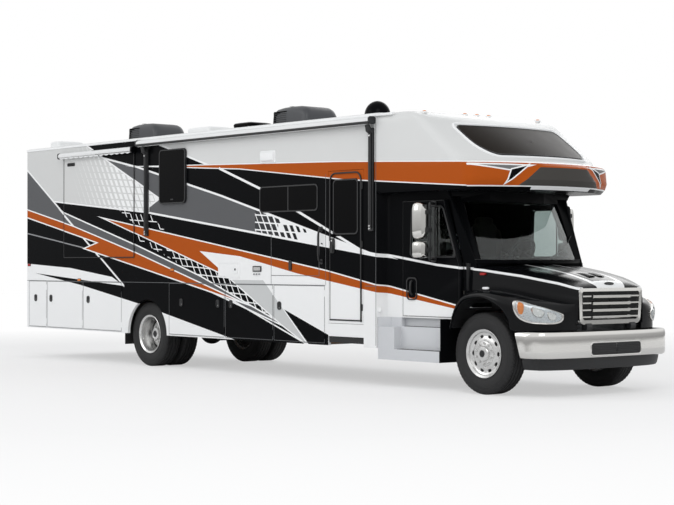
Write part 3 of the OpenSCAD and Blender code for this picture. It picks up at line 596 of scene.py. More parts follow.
chrome = finish("chrome", tone(214, 213, 210), 0.1, (40, 0.03, 0.05, 0.0), Metallic=1.0)
polished = finish("polished", tone(214, 214, 213), 0.24, (120, 0.05, 0.08, 0.02), Metallic=0.75)
rubber = finish("rubber", tone(28, 28, 29), 0.75, (400, 0.12, 0.1, 0.3))
galvanised = finish("galvanised", tone(140, 143, 146), 0.45, (25, 0.18, 0.15, 0.1), Metallic=0.8)
floor_board = finish("floor_board", tone(150, 116, 82), 0.5, (14, 0.2, 0.1, 0.2))
shade_grey = finish("shade_grey", tone(58, 60, 64), 0.42, (350, 0.08, 0.1, 0.15))
seam_grey = finish("seam_grey", tone(92, 94, 96), 0.6, (200, 0.05, 0.05, 0.05))
# seat_cloth: a dark fabric, darkened further as painted shade for the dim inside of the cab
seat_cloth = finish("seat_cloth", tone(50, 47, 44), 0.9, (160, 0.1, 0.1, 0.15), Sheen_Weight=0.1)
amber = finish("amber", tone(226, 128, 40), 0.2, (60, 0.05, 0.05, 0.0), Specular_IOR_Level=0.5)
red_lens = finish("red_lens", tone(170, 24, 22), 0.2, (60, 0.05, 0.05, 0.0), Specular_IOR_Level=0.5)
awning_white = finish("awning_white", tone(232, 233, 233), 0.6, (350, 0.04, 0.1, 0.2), Specular_IOR_Level=0.3)
clear_glass = finish("clear_glass", tone(190, 200, 198), 0.0, (10, 0.02, 0.0, 0.0), Transmission_Weight=1.0,
                     IOR=1.45)
lamp_bowl = finish("lamp_bowl", tone(196, 198, 200), 0.28, (90, 0.08, 0.08, 0.0), Metallic=0.5)
lamp_glass = finish("lamp_glass", tone(225, 230, 232), 0.03, (60, 0.02, 0.02, 0.0), Transmission_Weight=0.95,
                    IOR=1.12)
mirror_glass = finish("mirror_glass", tone(200, 204, 206), 0.03, (20, 0.02, 0.01, 0.0), Metallic=1.0)

NODE_FINISH = {
    chassis_black: "chassis_frame rear_axle leaf_springs drive_shaft front_axle entry_step",
    casting: "engine right_knuckle left_knuckle",
    chrome: "front_bumper grille right_mirror left_mirror",
    dark_plastic: "bumper_valance dashboard awning",
    black_paint: "hood",
    side_paint: "right_wall left_wall right_slide_room left_slide_room entry_door cab_shell right_cab_door "
                "left_cab_door bunk_cap right_locker_door_1 right_locker_door_2 right_locker_door_3 "
                "right_locker_door_4 right_locker_door_5 right_locker_door_6 left_locker_door_1 "
                "left_locker_door_2 left_locker_door_3",
    gelcoat: "cab_steps rear_wall roof_vents",
    roof_skin: "coach_roof",
    dark_glass: "coach_windows left_slide_window entry_door_glass",
    clear_glass: "windshield right_door_glass left_door_glass headlights",
    seat_cloth: "cab_seats",
    floor_board: "coach_floor",
    galvanised: "basement",
    shade_grey: "roof_air_conditioners",
    rubber: "mud_flaps front_right_tyre front_left_tyre rear_right_tyres rear_left_tyres",
    polished: "front_right_rim front_left_rim rear_right_rims rear_left_rims",
}
for material, names in NODE_FINISH.items():
    for name in names.split():
        dress(frame["nodes"][name].data, material)

# ---------- bunk nose and windows ----------
NOSE_HEIGHT = (2.50, 2.56, 2.63, 2.80, 2.84, 2.88, 2.94, 3.34, 3.45, 3.53, 3.585)
NOSE_REACH = (5.12, 5.19, 5.22, 5.20, 5.17, 5.00, 4.93, 4.28, 4.05, 3.75, 3.30)
NOSE_BOW = (1, 1, 1, 1, 1, 1, 0.95, 0.6, 0.35, 0.1, 0)
BOW_RADIUS = 2.07
NOSE_CORNER = 0.11  # how far in from the side the nose starts to bend round
NOSE_SLOPE = (0.83, 0, 0.56)  # square to the nose at the window


def nose_front(y, z):
    """Reach of the bunk nose: a profile up the middle, less a share of an arc, and a raised panel in the
    band."""
    bow = BOW_RADIUS - np.sqrt(BOW_RADIUS**2 - y**2)
    panel = np.interp(z, (2.50, 2.55, 2.78), (0.80, 0.76, 0.44)) - np.abs(y)
    raised = 0.028 * np.clip(panel / 0.08 + 0.5, 0, 1) * np.clip((2.835 - z) / 0.03, 0, 1)
    return np.interp(z, NOSE_HEIGHT, NOSE_REACH) - np.interp(z, NOSE_HEIGHT, NOSE_BOW) * bow + raised


def bunk_nose():
    """One closed loop in plan at each height, bowed in front, bent round the corners by quadratic curves
    from the bow to the straight sides, and drawn in over the roof crown."""
    height = np.concatenate([[2.5, 2.512, 2.53, 2.56, 2.60, 2.63, 2.68, 2.74, 2.79, 2.80, 2.82, 2.835, 2.85,
                              2.865, 2.88], np.linspace(2.91, 3.34, 14),
                             [3.38, 3.42, 3.46, 3.49, 3.515, 3.54, 3.56, 3.575, 3.587]])
    width = np.interp(height, (3.42, 3.46, 3.49, 3.515, 3.54, 3.56, 3.575, 3.587),
                      (HALF, 1.277, 1.262, 1.235, 1.18, 1.08, 0.9, 0.6))
    width = width - np.interp(height, (2.5, 2.512, 2.53), (0.03, 0.01, 0))
    t = np.linspace(0, 1, 9)[1:-1, None]
    loops = []
    for z, half in zip(height, width):
        y = np.linspace(NOSE_CORNER - half, half - NOSE_CORNER, 89)
        front = np.stack([nose_front(y, z), y], 1)
        last, slope = front[-1], (front[-1, 0] - front[-2, 0]) / (front[-1, 1] - front[-2, 1])
        tip = np.array([last[0] + slope * NOSE_CORNER, half])
        heel = tip - [0.13, 0]
        turn = (1 - t) ** 2 * last + 2 * t * (1 - t) * tip + t**2 * heel
        right = np.vstack([turn, heel, (3.08, half)])
        loops.append(at(np.vstack([right[::-1] * [1, -1], front, right]), z, 2))
    Form().loft(loops).build("bunk_nose", VEHICLE, nose_paint, "painted_gelcoat", "bunk_cap", smooth=28)


def nose_livery_group():
    """The side's stripes carried round the nose: a copper band, a bare grey panel and a barbed point on each
    side."""
    tree, place, ahead, aside, height, colour = paint_group("nose_livery")
    side = painted(tree, place, LIVERY)
    across = single(tree, "ABSOLUTE", aside)
    art = Artwork(tree, flat_place(tree, across, height), WHITE)
    art.lay(art.below(2.838), ORANGE)
    art.lay(art.least(art.edge(0.80, 2.50, 0.43, 2.785), art.below(2.785)), tone(74, 72, 69))
    art.lay(art.least(*art.edges((0.60, 2.80), (0.80, 2.75), (1.176, 2.81), (0.60, 2.80))),
            tone(118, 118, 118), 0.018)
    art.lay(art.least(*art.edges((0.60, 2.80), (0.86, 2.60), (0.80, 2.75), (0.60, 2.80))), BLACK, 0.016)
    art.lay(art.below(2.556), WHITE)
    art.lay(art.least(art.below(2.541), art.edge(0.70, 3, 0.35, 2)), BLACK)
    art.lay(art.below(2.509), BLACK)
    front = art.times(art.over(ahead, 4.72), art.over(1.262, across))
    front = art.times(front, art.under(height, 2.86))
    tree.links.new(blend_of(tree, front, side, art.colour), colour)
    return tree


nose_paint = finish("nose_paint", nose_livery_group(), 0.25, FINE_GRAIN, **GLOSS)


def window(form, box, side, proud=0.0, glass=0, trim=1):
    """A bonded window on a side wall: a thin frame round a slightly raised plate of dark glass."""
    wall = side * HALF
    pane = inset(box, 0, 0.05)
    form.hoop(inset(box, -0.018, 0.062), pane, wall + side * (proud - 0.03), wall + side * (proud + 0.007),
              finish=trim)
    form.prism(pane, wall - side * 0.03, wall + side * (proud + 0.003), finish=glass)


def windows():
    """The wall windows, and the bunk's: an outline at even steps, shrunk in rings that follow the nose."""
    form = Form()
    window(form, (-1.895, 2.52, -1.235, 3.31), -1, 0.03)
    window(form, (0.605, 2.33, 1.865, 2.66), -1)
    form.plate(-1.60, 2.555, -1.53, 2.575, 0.009, -HALF - 0.036, -HALF - 0.03, finish=1)
    form.block(1.225, 2.33, 1.245, 2.66, -HALF - 0.006, -HALF, finish=1)
    window(form, (-4.30, 2.40, -3.40, 2.95), 1)
    outline = rounded(-0.925, 2.945, 0.925, 3.335, (0.07, 0.07, 0.2, 0.2), 9)
    border = np.vstack([outline, outline[:1]])
    run = np.concatenate([[0], np.cumsum(np.linalg.norm(np.diff(border, axis=0), axis=1))])
    place = np.linspace(0, run[-1], 141)[:-1]
    spread = np.stack([np.interp(place, run, border[:, k]) for k in (0, 1)], 1) - [0, 3.14]

    def laid(scale, off):
        """The outline scaled about its middle and laid on the nose."""
        y, z = (spread * scale + [0, 3.14]).T
        return np.stack([nose_front(y, z) + off, y, z + off * 0.8], 1)

    form.skin([laid(s, 0.009) for s in np.linspace(1, 0.02, 24)], 3)
    form.tube(laid(1, 0.004), 0.011, 1, 8, NOSE_SLOPE, ring=True)
    form.tube(laid((1.032, 1.14), 0.0), 0.019, 2, 10, NOSE_SLOPE, ring=True)
    form.build("windows", VEHICLE, (dark_glass, dark_plastic, gelcoat, nose_glass), "dark_glass",
               "coach_windows", bevel=0.0015)


def nose_lamps():
    """Five small amber lamps across the brow of the nose, each on a tapered foot."""
    form = Form()
    for y, z in ((-1.05, 3.525), (-0.22, 3.545), (0.0, 3.545), (0.22, 3.545), (1.05, 3.525)):
        x = float(nose_front(abs(y), z))
        form.pebble((x, y, z), (0.05, 0.028, 0.016), 0.6, 1, 16, 8)
        form.pebble((x + 0.008, y, z + 0.014), (0.026, 0.019, 0.013), 0.7, 0, 16, 8)
    form.build("nose_lamps", VEHICLE, (amber, gelcoat))


# ---------- awning, slide-out topper and roof ----------
AWNING_BACK, AWNING_FRONT = -2.45, 3.05
AWNING_ARMS = (-2.2925, 2.9975)


def awning():
    """The rolled awning under its cover, and two folded arms in channels down the wall."""
    form = Form()
    wall = -HALF - SEAM
    cover = [(0, 3.505), (0.07, 3.50), (0.10, 3.485), (0.112, 3.462), (0.112, 3.443), (0.03, 3.435),
             (0, 3.435)]
    lower = [(0, 3.435), (0.112, 3.443), (0.115, 3.43), (0.105, 3.412), (0.06, 3.405), (0, 3.41)]
    form.prism([(wall - d, z) for d, z in cover], AWNING_BACK, AWNING_FRONT, 0, 0)
    form.prism([(wall - d, z) for d, z in lower], AWNING_BACK - 0.002, AWNING_FRONT + 0.002, 0, 1)
    form.tube([(AWNING_BACK + 0.01, wall - 0.07, 3.425), (AWNING_FRONT - 0.01, wall - 0.07, 3.425)], 0.022, 0,
              16)
    cap = np.array([(-1, -0.4), (-1, 0.6), (-0.5, 1), (0.6, 1), (1, 0.6), (1, -0.6), (0.4, -1), (-0.6, -1)])
    for x in (AWNING_BACK - 0.0045, AWNING_FRONT + 0.0025):
        form.prism(cap * [0.058, 0.052] + [wall - 0.058, 3.456], x - 0.012, x + 0.012, 0, 1)
    half = np.array([(0.047, 0), (0.047, 0.03), (0.038, 0.034), (0.034, 0.014)])
    channel = np.vstack([half[:1] * [-1, 1], half, half[:0:-1] * [-1, 1]])
    for x in AWNING_ARMS:
        form.prism([x, wall] + channel * [1, -1], 2.02, 3.36, 2, 1)
        form.plate(x - 0.027, wall - 0.050, x + 0.027, wall - 0.018, 0.008, 2.06, 3.30, 2, 1)
        form.plate(x - 0.014, wall - 0.055, x + 0.014, wall - 0.050, 0.002, 2.10, 3.24, 2, 1)
        form.tube([(x, wall - 0.004, 3.30), (x, wall - 0.06, 3.335), (x, wall - 0.09, 3.40)],
                  (0.04, 0.045, 0.03), 1, 14, (1, 0, 0))
        for z in (2.05, 2.085, 3.26):
            form.lathe([(0, -0.058), (0.012, -0.058), (0.014, -0.052), (0.014, -0.03), (0, -0.03)],
                       (x, wall, z), 1, 2, 20)
        form.plate(x - 0.05, 2.0205, x + 0.05, 2.06, 0.012, wall - 0.03, wall, 1, 1)
    form.build("awning_set", VEHICLE, (awning_white, dark_plastic, polished), "dark_plastic", "awning",
               bevel=0.002)


def topper():
    """The roller over the right slide-out: a wound sheet, and under it a short hem whose lower edge is a row
    of half sine waves."""
    form = Form()
    wall = -HALF - ROOM - SEAM
    turn = around(40)
    roll = np.stack([wall - 0.05 + 0.044 * np.cos(turn), 3.374 + 0.044 * np.sin(turn)], 1)
    form.prism(roll, -4.81, -2.62, 0, 0)
    x = np.linspace(-4.80, -2.63, 150)
    hem = 3.335 - 0.018 * np.abs(np.sin((x + 4.80) * np.pi / 0.155))
    top = np.stack([x, np.full_like(x, wall - 0.075), np.full_like(x, 3.345)], 1)
    bottom = np.stack([x, np.full_like(x, wall - 0.08), hem], 1)
    strip = np.vstack([top, bottom[::-1]])
    form.loft([strip, strip + [0, 0.002, 0]], 0)
    form.tube([(-4.81, wall - 0.078, 3.347), (-2.62, wall - 0.078, 3.347)], 0.006, 1, 8)
    for x in (-4.822, -2.608):
        form.plate(wall - 0.096, 3.322, wall, 3.424, 0.03, x - 0.012, x + 0.012, 0, 1)
    form.build("slide_topper", "right_slide_room", (awning_white, dark_plastic), bevel=0.0015)


def roof_units():
    """Two cooling units: rounded boxes lofted from tail to nose, with louvres let into the tail."""
    x = np.array([-0.41, -0.405, -0.39, -0.34, -0.2, 0, 0.18, 0.28, 0.34, 0.38, 0.402, 0.41])
    top = np.array([3.70, 3.80, 3.865, 3.905, 3.92, 3.925, 3.92, 3.905, 3.88, 3.84, 3.78, 3.70])
    half = np.array([0.285, 0.295, 0.30, 0.305, 0.31, 0.31, 0.31, 0.31, 0.308, 0.30, 0.29, 0.28])
    foot = 3.56
    slat = np.array([(0, 0), (0.012, 0.006), (0.012, 0.012), (0, 0.016)])
    form = Form()
    for centre in (-3.945, 0.02):
        loops = []
        for a, h, w in zip(x, top, half):
            r = min(0.11, (h - foot) / 2)
            loops.append(at(rounded(-w, foot, w, h, (r, r, 0.005, 0.005), 7), centre + a, 0))
        form.loft(loops, 0)
        form.plate(centre - 0.43, -0.33, centre + 0.43, 0.33, 0.05, 3.572, 3.60, 2, 1)
        for side in SIDES:
            for z in np.arange(3.665, 3.84, 0.03):
                outline = np.stack([side * (0.303 + slat[:, 0]), z + slat[:, 1]], 1)
                form.prism(outline, centre - 0.36, centre - 0.07, 0, 1)
            form.plate(centre - 0.375, 3.65, centre - 0.055, 3.86, 0.02, side * 0.30, side * 0.306, 1, 2)
        back, lip = centre - 0.417, centre - 0.40
        for z in np.arange(3.66, 3.83, 0.03):
            form.prism([(back, z), (lip, z + 0.006), (lip, z + 0.018), (back, z + 0.012)], -0.24, 0.24, 1, 1)
        y = np.linspace(-0.28, 0.28, 15)
        crown = 3.925 - 0.5 * np.maximum(0, np.abs(y) - 0.27)
        form.tube(np.stack([np.full_like(y, centre - 0.02), y, crown], 1), 0.003, 1, 6)
    form.build("roof_units", VEHICLE, (shade_grey, dark_plastic, black_paint), "gloss_black_paint",
               "roof_air_conditioners", bevel=0.003, smooth=40)


def roof_fittings():
    """The aerial dome, three vent lids, and the gutter rails along both edges of the roof."""
    form = Form()
    dome = (1.65, 0, 0)
    turn = np.linspace(0, np.pi / 2, 14)
    form.lathe([(0, 3.55), (0.225, 3.55), (0.225, 3.60), (0.215, 3.66), (0.205, 3.685), (0, 3.69)], dome, 2,
               0)
    form.lathe([(0, 3.67), (0.182, 3.67), (0.186, 3.69),
                *zip(0.186 * np.cos(turn), 3.695 + 0.20 * np.sin(turn))], dome, 2, 1)
    for x0, x1, y0, y1, z, lid in ((-2.70, -2.10, -0.25, 0.25, 3.77, 0),
                                   (-1.50, -1.06, -0.225, 0.225, 3.775, 2),
                                   (-5.75, -5.45, -1.0, -0.5, 3.69, 0)):
        form.plate(x0, y0, x1, y1, 0.04, 3.55, z - 0.075, 2, 0)
        form.loft([at(inset((x0, y0, x1, y1), depth, 0.05), z + height, 2)
                   for depth, height in ((0.0, -0.08), (-0.004, -0.03), (0.01, -0.012), (0.05, 0.0))], lid)
        for y in np.linspace(y0 + 0.1, y1 - 0.1, 4):
            form.tube([(x0 + 0.08, y, z), (x1 - 0.08, y, z)], 0.005, lid, 8)
    rail = np.array([(0, 0), (0.012, 0.002), (0.014, 0.02), (0.008, 0.032), (-0.03, 0.036), (-0.03, 0.028),
                     (0, 0.02)])
    for side in SIDES:
        form.prism(np.stack([side * (HALF + SEAM + rail[:, 0]), 3.508 + rail[:, 1]], 1), TAIL, 3.40, 0, 0)
    form.build("roof_fittings", VEHICLE, (gelcoat, black_paint, dark_glass), "white_plastic", "roof_vents",
               bevel=0.002, smooth=40)


# ---------- wheels ----------
AXLE_HEIGHT = 0.5
FRONT_AXLE, FRONT_TRACK = 4.895, 1.02  # place along the frame, and half the distance between the wheels
REAR_AXLE, REAR_TRACK = -2.363, 1.06
TWIN = 0.325  # from an outer rear wheel to its inner one
FLANK = [(0.2853, 0.112), (0.305, 0.113), (0.33, 0.128), (0.36, 0.137), (0.395, 0.14), (0.43, 0.138),
         (0.436, 0.1345), (0.442, 0.137), (0.46, 0.132), (0.478, 0.124), (0.490, 0.117), (0.4975, 0.108),
         (0.4995, 0.098)]
RIM_LIP = [(0.285, 0.10), (0.298, 0.117), (0.2985, 0.125), (0.294, 0.128), (0.284, 0.122), (0.268, 0.112),
           (0.262, 0.095)]
RIM_BACK = [(0.262, -0.10), (0.2985, -0.125), (0.285, -0.10)]


class Wheel(Form):
    """A form that keeps its wheel's place: profiles are (radius, distance outward from the wheel's
    middle)."""

    def __init__(self, x, track):
        """The axle's place along the vehicle, and the wheel's distance from its middle line."""
        super().__init__()
        self.x, self.track = x, track

    def turned(self, profile, finish=0, steps=96):
        """A profile turned about the axle."""
        return self.lathe(np.multiply(profile, (1, -1)), (self.x, -self.track, AXLE_HEIGHT), 1, finish, steps)

    def spots(self, radius, angle, outward):
        """Points at a radius and an angle round the axle, and a distance outward from the wheel's middle."""
        return np.stack([self.x + radius * np.cos(angle), -self.track - outward,
                         AXLE_HEIGHT + radius * np.sin(angle)], -1)

    def tyre(self):
        """Section of a tyre turned about its axle: grooves run round the tread and its shoulders are
        notched."""
        grooves = []
        for groove in (0.078, 0.028, -0.028, -0.078):
            grooves += [(0.5, groove + 0.006), (0.488, groove + 0.004), (0.488, groove - 0.004),
                        (0.5, groove - 0.006)]
        section = np.array(FLANK + grooves + [(r, -w) for r, w in FLANK[::-1]])
        radius, across = section[:, :, None].swapaxes(0, 1)
        turn = around(240)
        shoulder = np.interp(np.abs(across), (0.09, 0.097, 0.117, 0.125), (0, 0.008, 0.008, 0))
        notch = (np.arange(240) % 4 == 0) * shoulder
        points = self.spots(radius - notch, turn, across + 0 * turn)
        return self.add(points, cells(len(radius), 240, True, True))

    def disc(self, face, hole_at, holes=10, hole_half=(0.019, 0.029)):
        """A pressed disc: sectors, each a ring of points from its straight border to an oval hand hole and
        its lip."""
        wide = np.pi / holes
        inner, outer = face[0][0], face[-1][0]
        turn = around(40)
        ray = np.stack([np.cos(turn), np.sin(turn)], 1)
        square = ray / np.abs(ray).max(1, keepdims=True)
        border = [(inner + outer) / 2, 0] + square * [(outer - inner) / 2, wide]
        hole = [hole_at, 0] + ray * [hole_half[0], hole_half[1] / hole_at]
        rings = ((border, 0), ((border + hole) / 2, 0), (hole * [1, 1.12], 0), (hole, -0.004), (hole, -0.016))
        for k in range(holes):
            self.skin([self.spots(ring[:, 0], ring[:, 1] + 2 * wide * k,
                                  np.interp(ring[:, 0], *zip(*face)) + drop) for ring, drop in rings])

    def nuts(self, level, circle=0.127):
        """Ten domed wheel nuts on a circle."""
        profile = [(0, -0.03), (0.008, -0.028), (0.013, -0.02), (0.0155, -0.004), (0.017, 0.004), (0, 0.004)]
        for place in self.spots(circle, around(10) + 0.31, np.full(10, level)):
            self.lathe(profile, place, 1, 0, 12)


def front_wheel(left):
    """A steer wheel: grooved tyre, a rim turned about the axle, its disc with hand holes, the hub's cap
    and a ring of nuts."""
    name = "front_left" if left else "front_right"
    body = name + "_wheel"
    tread = Wheel(FRONT_AXLE, FRONT_TRACK).tyre()
    tread.build(name + "_tyre_tread", body, rubber, "tyre_rubber", name + "_tyre", left, smooth=30)
    rim = Wheel(FRONT_AXLE, FRONT_TRACK)
    rim.turned(RIM_LIP + [(0.258, 0.088), (0.255, 0.02)] + RIM_BACK)
    rim.disc([(0.155, 0.094), (0.18, 0.092), (0.215, 0.082), (0.245, 0.086), (0.26, 0.094)], 0.214)
    rim.turned([(0.155, 0.094), (0.15, 0.104), (0.12, 0.110), (0.098, 0.113), (0.094, 0.135), (0.086, 0.143),
                (0.06, 0.147), (0.03, 0.149), (0, 0.1495)], 0, 64)
    rim.nuts(0.108)
    rim.turned([(0.045, 0.1476), (0.043, 0.1505), (0, 0.1507)], 1, 40)
    rim.turned([(0, 0.03), (0.25, 0.03), (0.25, 0.01), (0, 0.01)], 1, 48)
    rim.build(name + "_rim_disc", body, (polished, chassis_black), "polished_aluminium", name + "_rim", left)


def rear_wheels(left):
    """Twin wheels on one hub: two tyres and two rims turned about the axle, and the outer one's dished
    disc with its hub and nuts."""
    name = "rear_left" if left else "rear_right"
    body = name + "_wheels"
    tread, rim = Wheel(REAR_AXLE, REAR_TRACK), Wheel(REAR_AXLE, REAR_TRACK)
    for track in (REAR_TRACK, REAR_TRACK - TWIN):
        tread.track = rim.track = track
        tread.tyre()
        rim.turned(RIM_LIP + [(0.258, 0.06), (0.256, -0.02)] + RIM_BACK)
    rim.track = REAR_TRACK
    tread.build(name + "_tyre_treads", body, rubber, "tyre_rubber", name + "_tyres", left, smooth=30)
    rim.disc([(0.155, -0.045), (0.18, -0.05), (0.215, -0.075), (0.245, -0.115), (0.257, -0.14)], 0.212)
    rim.turned([(0.155, -0.045), (0.12, -0.04), (0.098, -0.036), (0.092, 0.0), (0.088, 0.02), (0.06, 0.026),
                (0, 0.028)], 0, 64)
    rim.nuts(-0.040)
    rim.turned([(0.05, 0.0262), (0.047, 0.029), (0, 0.0292)], 1, 40)
    rim.turned([(0, -0.17), (0.25, -0.17), (0.25, -0.30), (0, -0.30)], 1, 48)
    rim.build(name + "_rim_discs", body, (polished, chassis_black), "polished_aluminium", name + "_rims",
              left)


bunk_nose()
windows()
nose_lamps()
awning()
topper()
roof_units()
roof_fittings()
for left in (False, True):
    front_wheel(left)
    rear_wheels(left)


# ---------- hood ----------
HOOD_X = (4.60, 4.75, 5.0, 5.25, 5.5, 5.7, 5.83, 5.90, 5.925, 5.932)
HOOD_TOP = (1.600, 1.583, 1.553, 1.52, 1.48, 1.43, 1.385, 1.345, 1.32, 1.292)
HOOD_EDGE = (1.535, 1.52, 1.488, 1.45, 1.41, 1.365, 1.33, 1.310, 1.298, 1.285)
HOOD_HALF = (1.035, 1.0, 0.93, 0.85, 0.76, 0.685, 0.63, 0.595, 0.578, 0.572)
HOOD_VALLEY = (1.20, 1.26, 1.275, 1.235, 1.18, 1.13, 1.11, 1.10, 1.10, 1.10)
HOOD_FOOT = (1.17, 1.23, 1.245, 1.205, 1.15, 0.98, 0.87, 0.87, 0.87, 0.87)
FENDER = [  # outer x and y, inner x and y, heights of the inner edge, the shoulder and the lower lip
    (4.445, 1.275, 4.445, 1.145, 0.87, 0.845, 0.79), (4.50, 1.28, 4.50, 1.145, 1.02, 0.99, 0.955),
    (4.56, 1.28, 4.56, 1.145, 1.135, 1.105, 1.05), (4.66, 1.28, 4.66, 1.01, 1.235, 1.195, 1.145),
    (4.80, 1.28, 4.80, 0.96, 1.285, 1.24, 1.183), (5.0, 1.28, 5.0, 0.90, 1.29, 1.25, 1.19),
    (5.2, 1.28, 5.2, 0.84, 1.265, 1.225, 1.13), (5.33, 1.262, 5.33, 0.79, 1.24, 1.195, 1.045),
    (5.41, 1.235, 5.41, 0.765, 1.22, 1.17, 0.92), (5.445, 1.222, 5.45, 0.75, 1.21, 1.155, 0.81),
    (5.60, 1.135, 5.6, 0.70, 1.175, 1.11, 0.80), (5.74, 1.01, 5.72, 0.65, 1.145, 1.07, 0.80),
    (5.84, 0.87, 5.82, 0.62, 1.12, 1.04, 0.80), (5.885, 0.73, 5.88, 0.60, 1.11, 1.04, 0.80),
    (5.905, 0.585, 5.90, 0.575, 1.11, 1.05, 0.80)]
FENDER_ROWS = 130
ARCH_ROWS = 83  # rows of the fender that lie over the wheel
HOOD_SKIN = 0.006


def crown_skin():
    """Net of the hood's top: sections from the middle out to its crease and down to the valley beside the
    fender."""
    rows = []
    for x, top, edge, half, valley, foot in zip(HOOD_X, HOOD_TOP, HOOD_EDGE, HOOD_HALF, HOOD_VALLEY,
                                                HOOD_FOOT):
        drop = top - edge
        side = np.array([(x, half * 0.28, top - 0.002), (x, half * 0.36, top - 0.1 * drop),
                         (x, half * 0.7, top - 0.30 * drop), (x, half * 0.93, top - 0.72 * drop),
                         (x, half - 0.004, edge + 0.004), (x, half + 0.004, edge - 0.03),
                         (x, half + 0.012, (edge + valley) / 2), (x, half + 0.02, valley + 0.03),
                         (x, half + 0.02, foot)])
        rows.append(np.vstack([side[::-1] * FLIP, (x, 0, top + 0.004), side]))
    return net(rows, 70, 127)


def fender_skin():
    """Net of the right fender: stations follow its lip from the cab to the nose, each a section from the
    valley over the shoulder to the lip."""
    rows = []
    for outer_x, outer_y, inner_x, inner_y, inner, shoulder, lip in FENDER:
        flat = min(0.05, (shoulder - lip) * 0.45)
        section = [(0, inner), (0.35, inner + 0.004), (0.7, inner - 0.3 * (inner - shoulder)),
                   (0.9, shoulder), (0.985, shoulder - flat), (1, lip + flat * 0.6), (1, lip)]
        rows.append([(inner_x + (outer_x - inner_x) * s, -(inner_y + (outer_y - inner_y) * s), z)
                     for s, z in section])
    return net(rows, FENDER_ROWS, 49)


def on_skin(skin, row, column, off):
    """Points on a skin at fractions of its rows and columns, between its four nearest points, lifted along
    its normal."""
    normal = np.cross(np.gradient(skin, axis=0), np.gradient(skin, axis=1))
    normal /= np.maximum(np.linalg.norm(normal, axis=2, keepdims=True), 1e-9)
    r, c = row * (skin.shape[0] - 1), column * (skin.shape[1] - 1)
    i, j = np.minimum(r.astype(int), skin.shape[0] - 2), np.minimum(c.astype(int), skin.shape[1] - 2)
    f, g = (r - i)[:, None], (c - j)[:, None]

    def between(a):
        """Weighted mean of the four nearest entries, nearer ones heavier."""
        return (a[i, j] * (1 - f) * (1 - g) + a[i + 1, j] * f * (1 - g) + a[i, j + 1] * (1 - f) * g
                + a[i + 1, j + 1] * f * g)
    return between(skin) + between(normal) * off


def hood_paint_group():
    """Black hood with a white line under each crease, two white stripes along its top, a white nose panel
    and a flat black scoop bed."""
    tree, _, along, aside, height, colour = paint_group("hood_stripes")
    across = single(tree, "ABSOLUTE", aside)
    art = Artwork(tree, flat_place(tree, along, across), BLACK)
    upper = art.over(height, 1.26)
    art.lay(art.least(*art.edges((5.97, 0.225), (5.86, 0.30), (5.62, 0.325), (5.2, 0.30), (4.64, 0.26)),
                      art.most(*art.edges((4.64, 0.232), (5.2, 0.255), (5.62, 0.262), (5.78, 0.235)))), WHITE)
    art.lay(art.least(art.ahead(5.825), art.edge(5.97, 0.225, 5.80, 0.30)), WHITE)
    art.lay(art.least(art.edge(5.815, 0.24, 5.42, 0.20), art.ahead(5.42), art.behind(5.80)), tone(26, 27, 28))
    crease = Artwork(tree, flat_place(tree, along, height), blend_of(tree, upper, BLACK, art.colour))
    low = crease.most(*crease.edges((4.4, 1.535), (4.75, 1.500), (5.25, 1.430), (5.7, 1.343), (5.97, 1.270)))
    high = crease.edges((5.97, 1.297), (5.7, 1.372), (5.25, 1.459), (4.75, 1.528), (4.4, 1.56))
    beside = art.times(art.over(across, 0.5), art.over(crease.least(low, *high)))
    tree.links.new(blend_of(tree, beside, crease.colour, WHITE), colour)
    return tree


hood_paint = finish("hood_paint", hood_paint_group(), 0.2, (300, 0.02, 0.05, 0.01), Specular_IOR_Level=0.2)


def hood():
    """The crown and both fenders as one thickened skin, with a liner that rises from each lip, turns inward
    over the wheel and hangs down as a skirt."""
    skin = fender_skin()
    form = Form().sheet(crown_skin())
    form.sheet(skin)
    form.sheet(skin[::-1] * FLIP)
    arch = skin[:ARCH_ROWS, -1]
    x, z = arch[:, 0], arch[:, 2]
    inner = np.stack([x, np.interp(z, (0.90, 1.0, 1.14), (-0.96, -0.88, -0.62)), z + 0.01], 1)
    skirt = inner.copy()
    skirt[:, 2] = np.minimum(inner[:, 2], np.maximum(1.022, inner[:, 2] - 0.14))
    liner = np.stack([arch, arch + [0, 0.02, 0.012], inner, skirt])
    form.sheet(liner, 1)
    form.sheet(liner[:, ::-1] * FLIP, 1)
    piece = form.build("hood_skin", "hood", (hood_paint, dark_plastic), "gloss_black_paint", "hood",
                       smooth=50, outward=False)
    shell = piece.modifiers.new("thickness", "SOLIDIFY")
    shell.thickness, shell.offset = HOOD_SKIN, -1.0


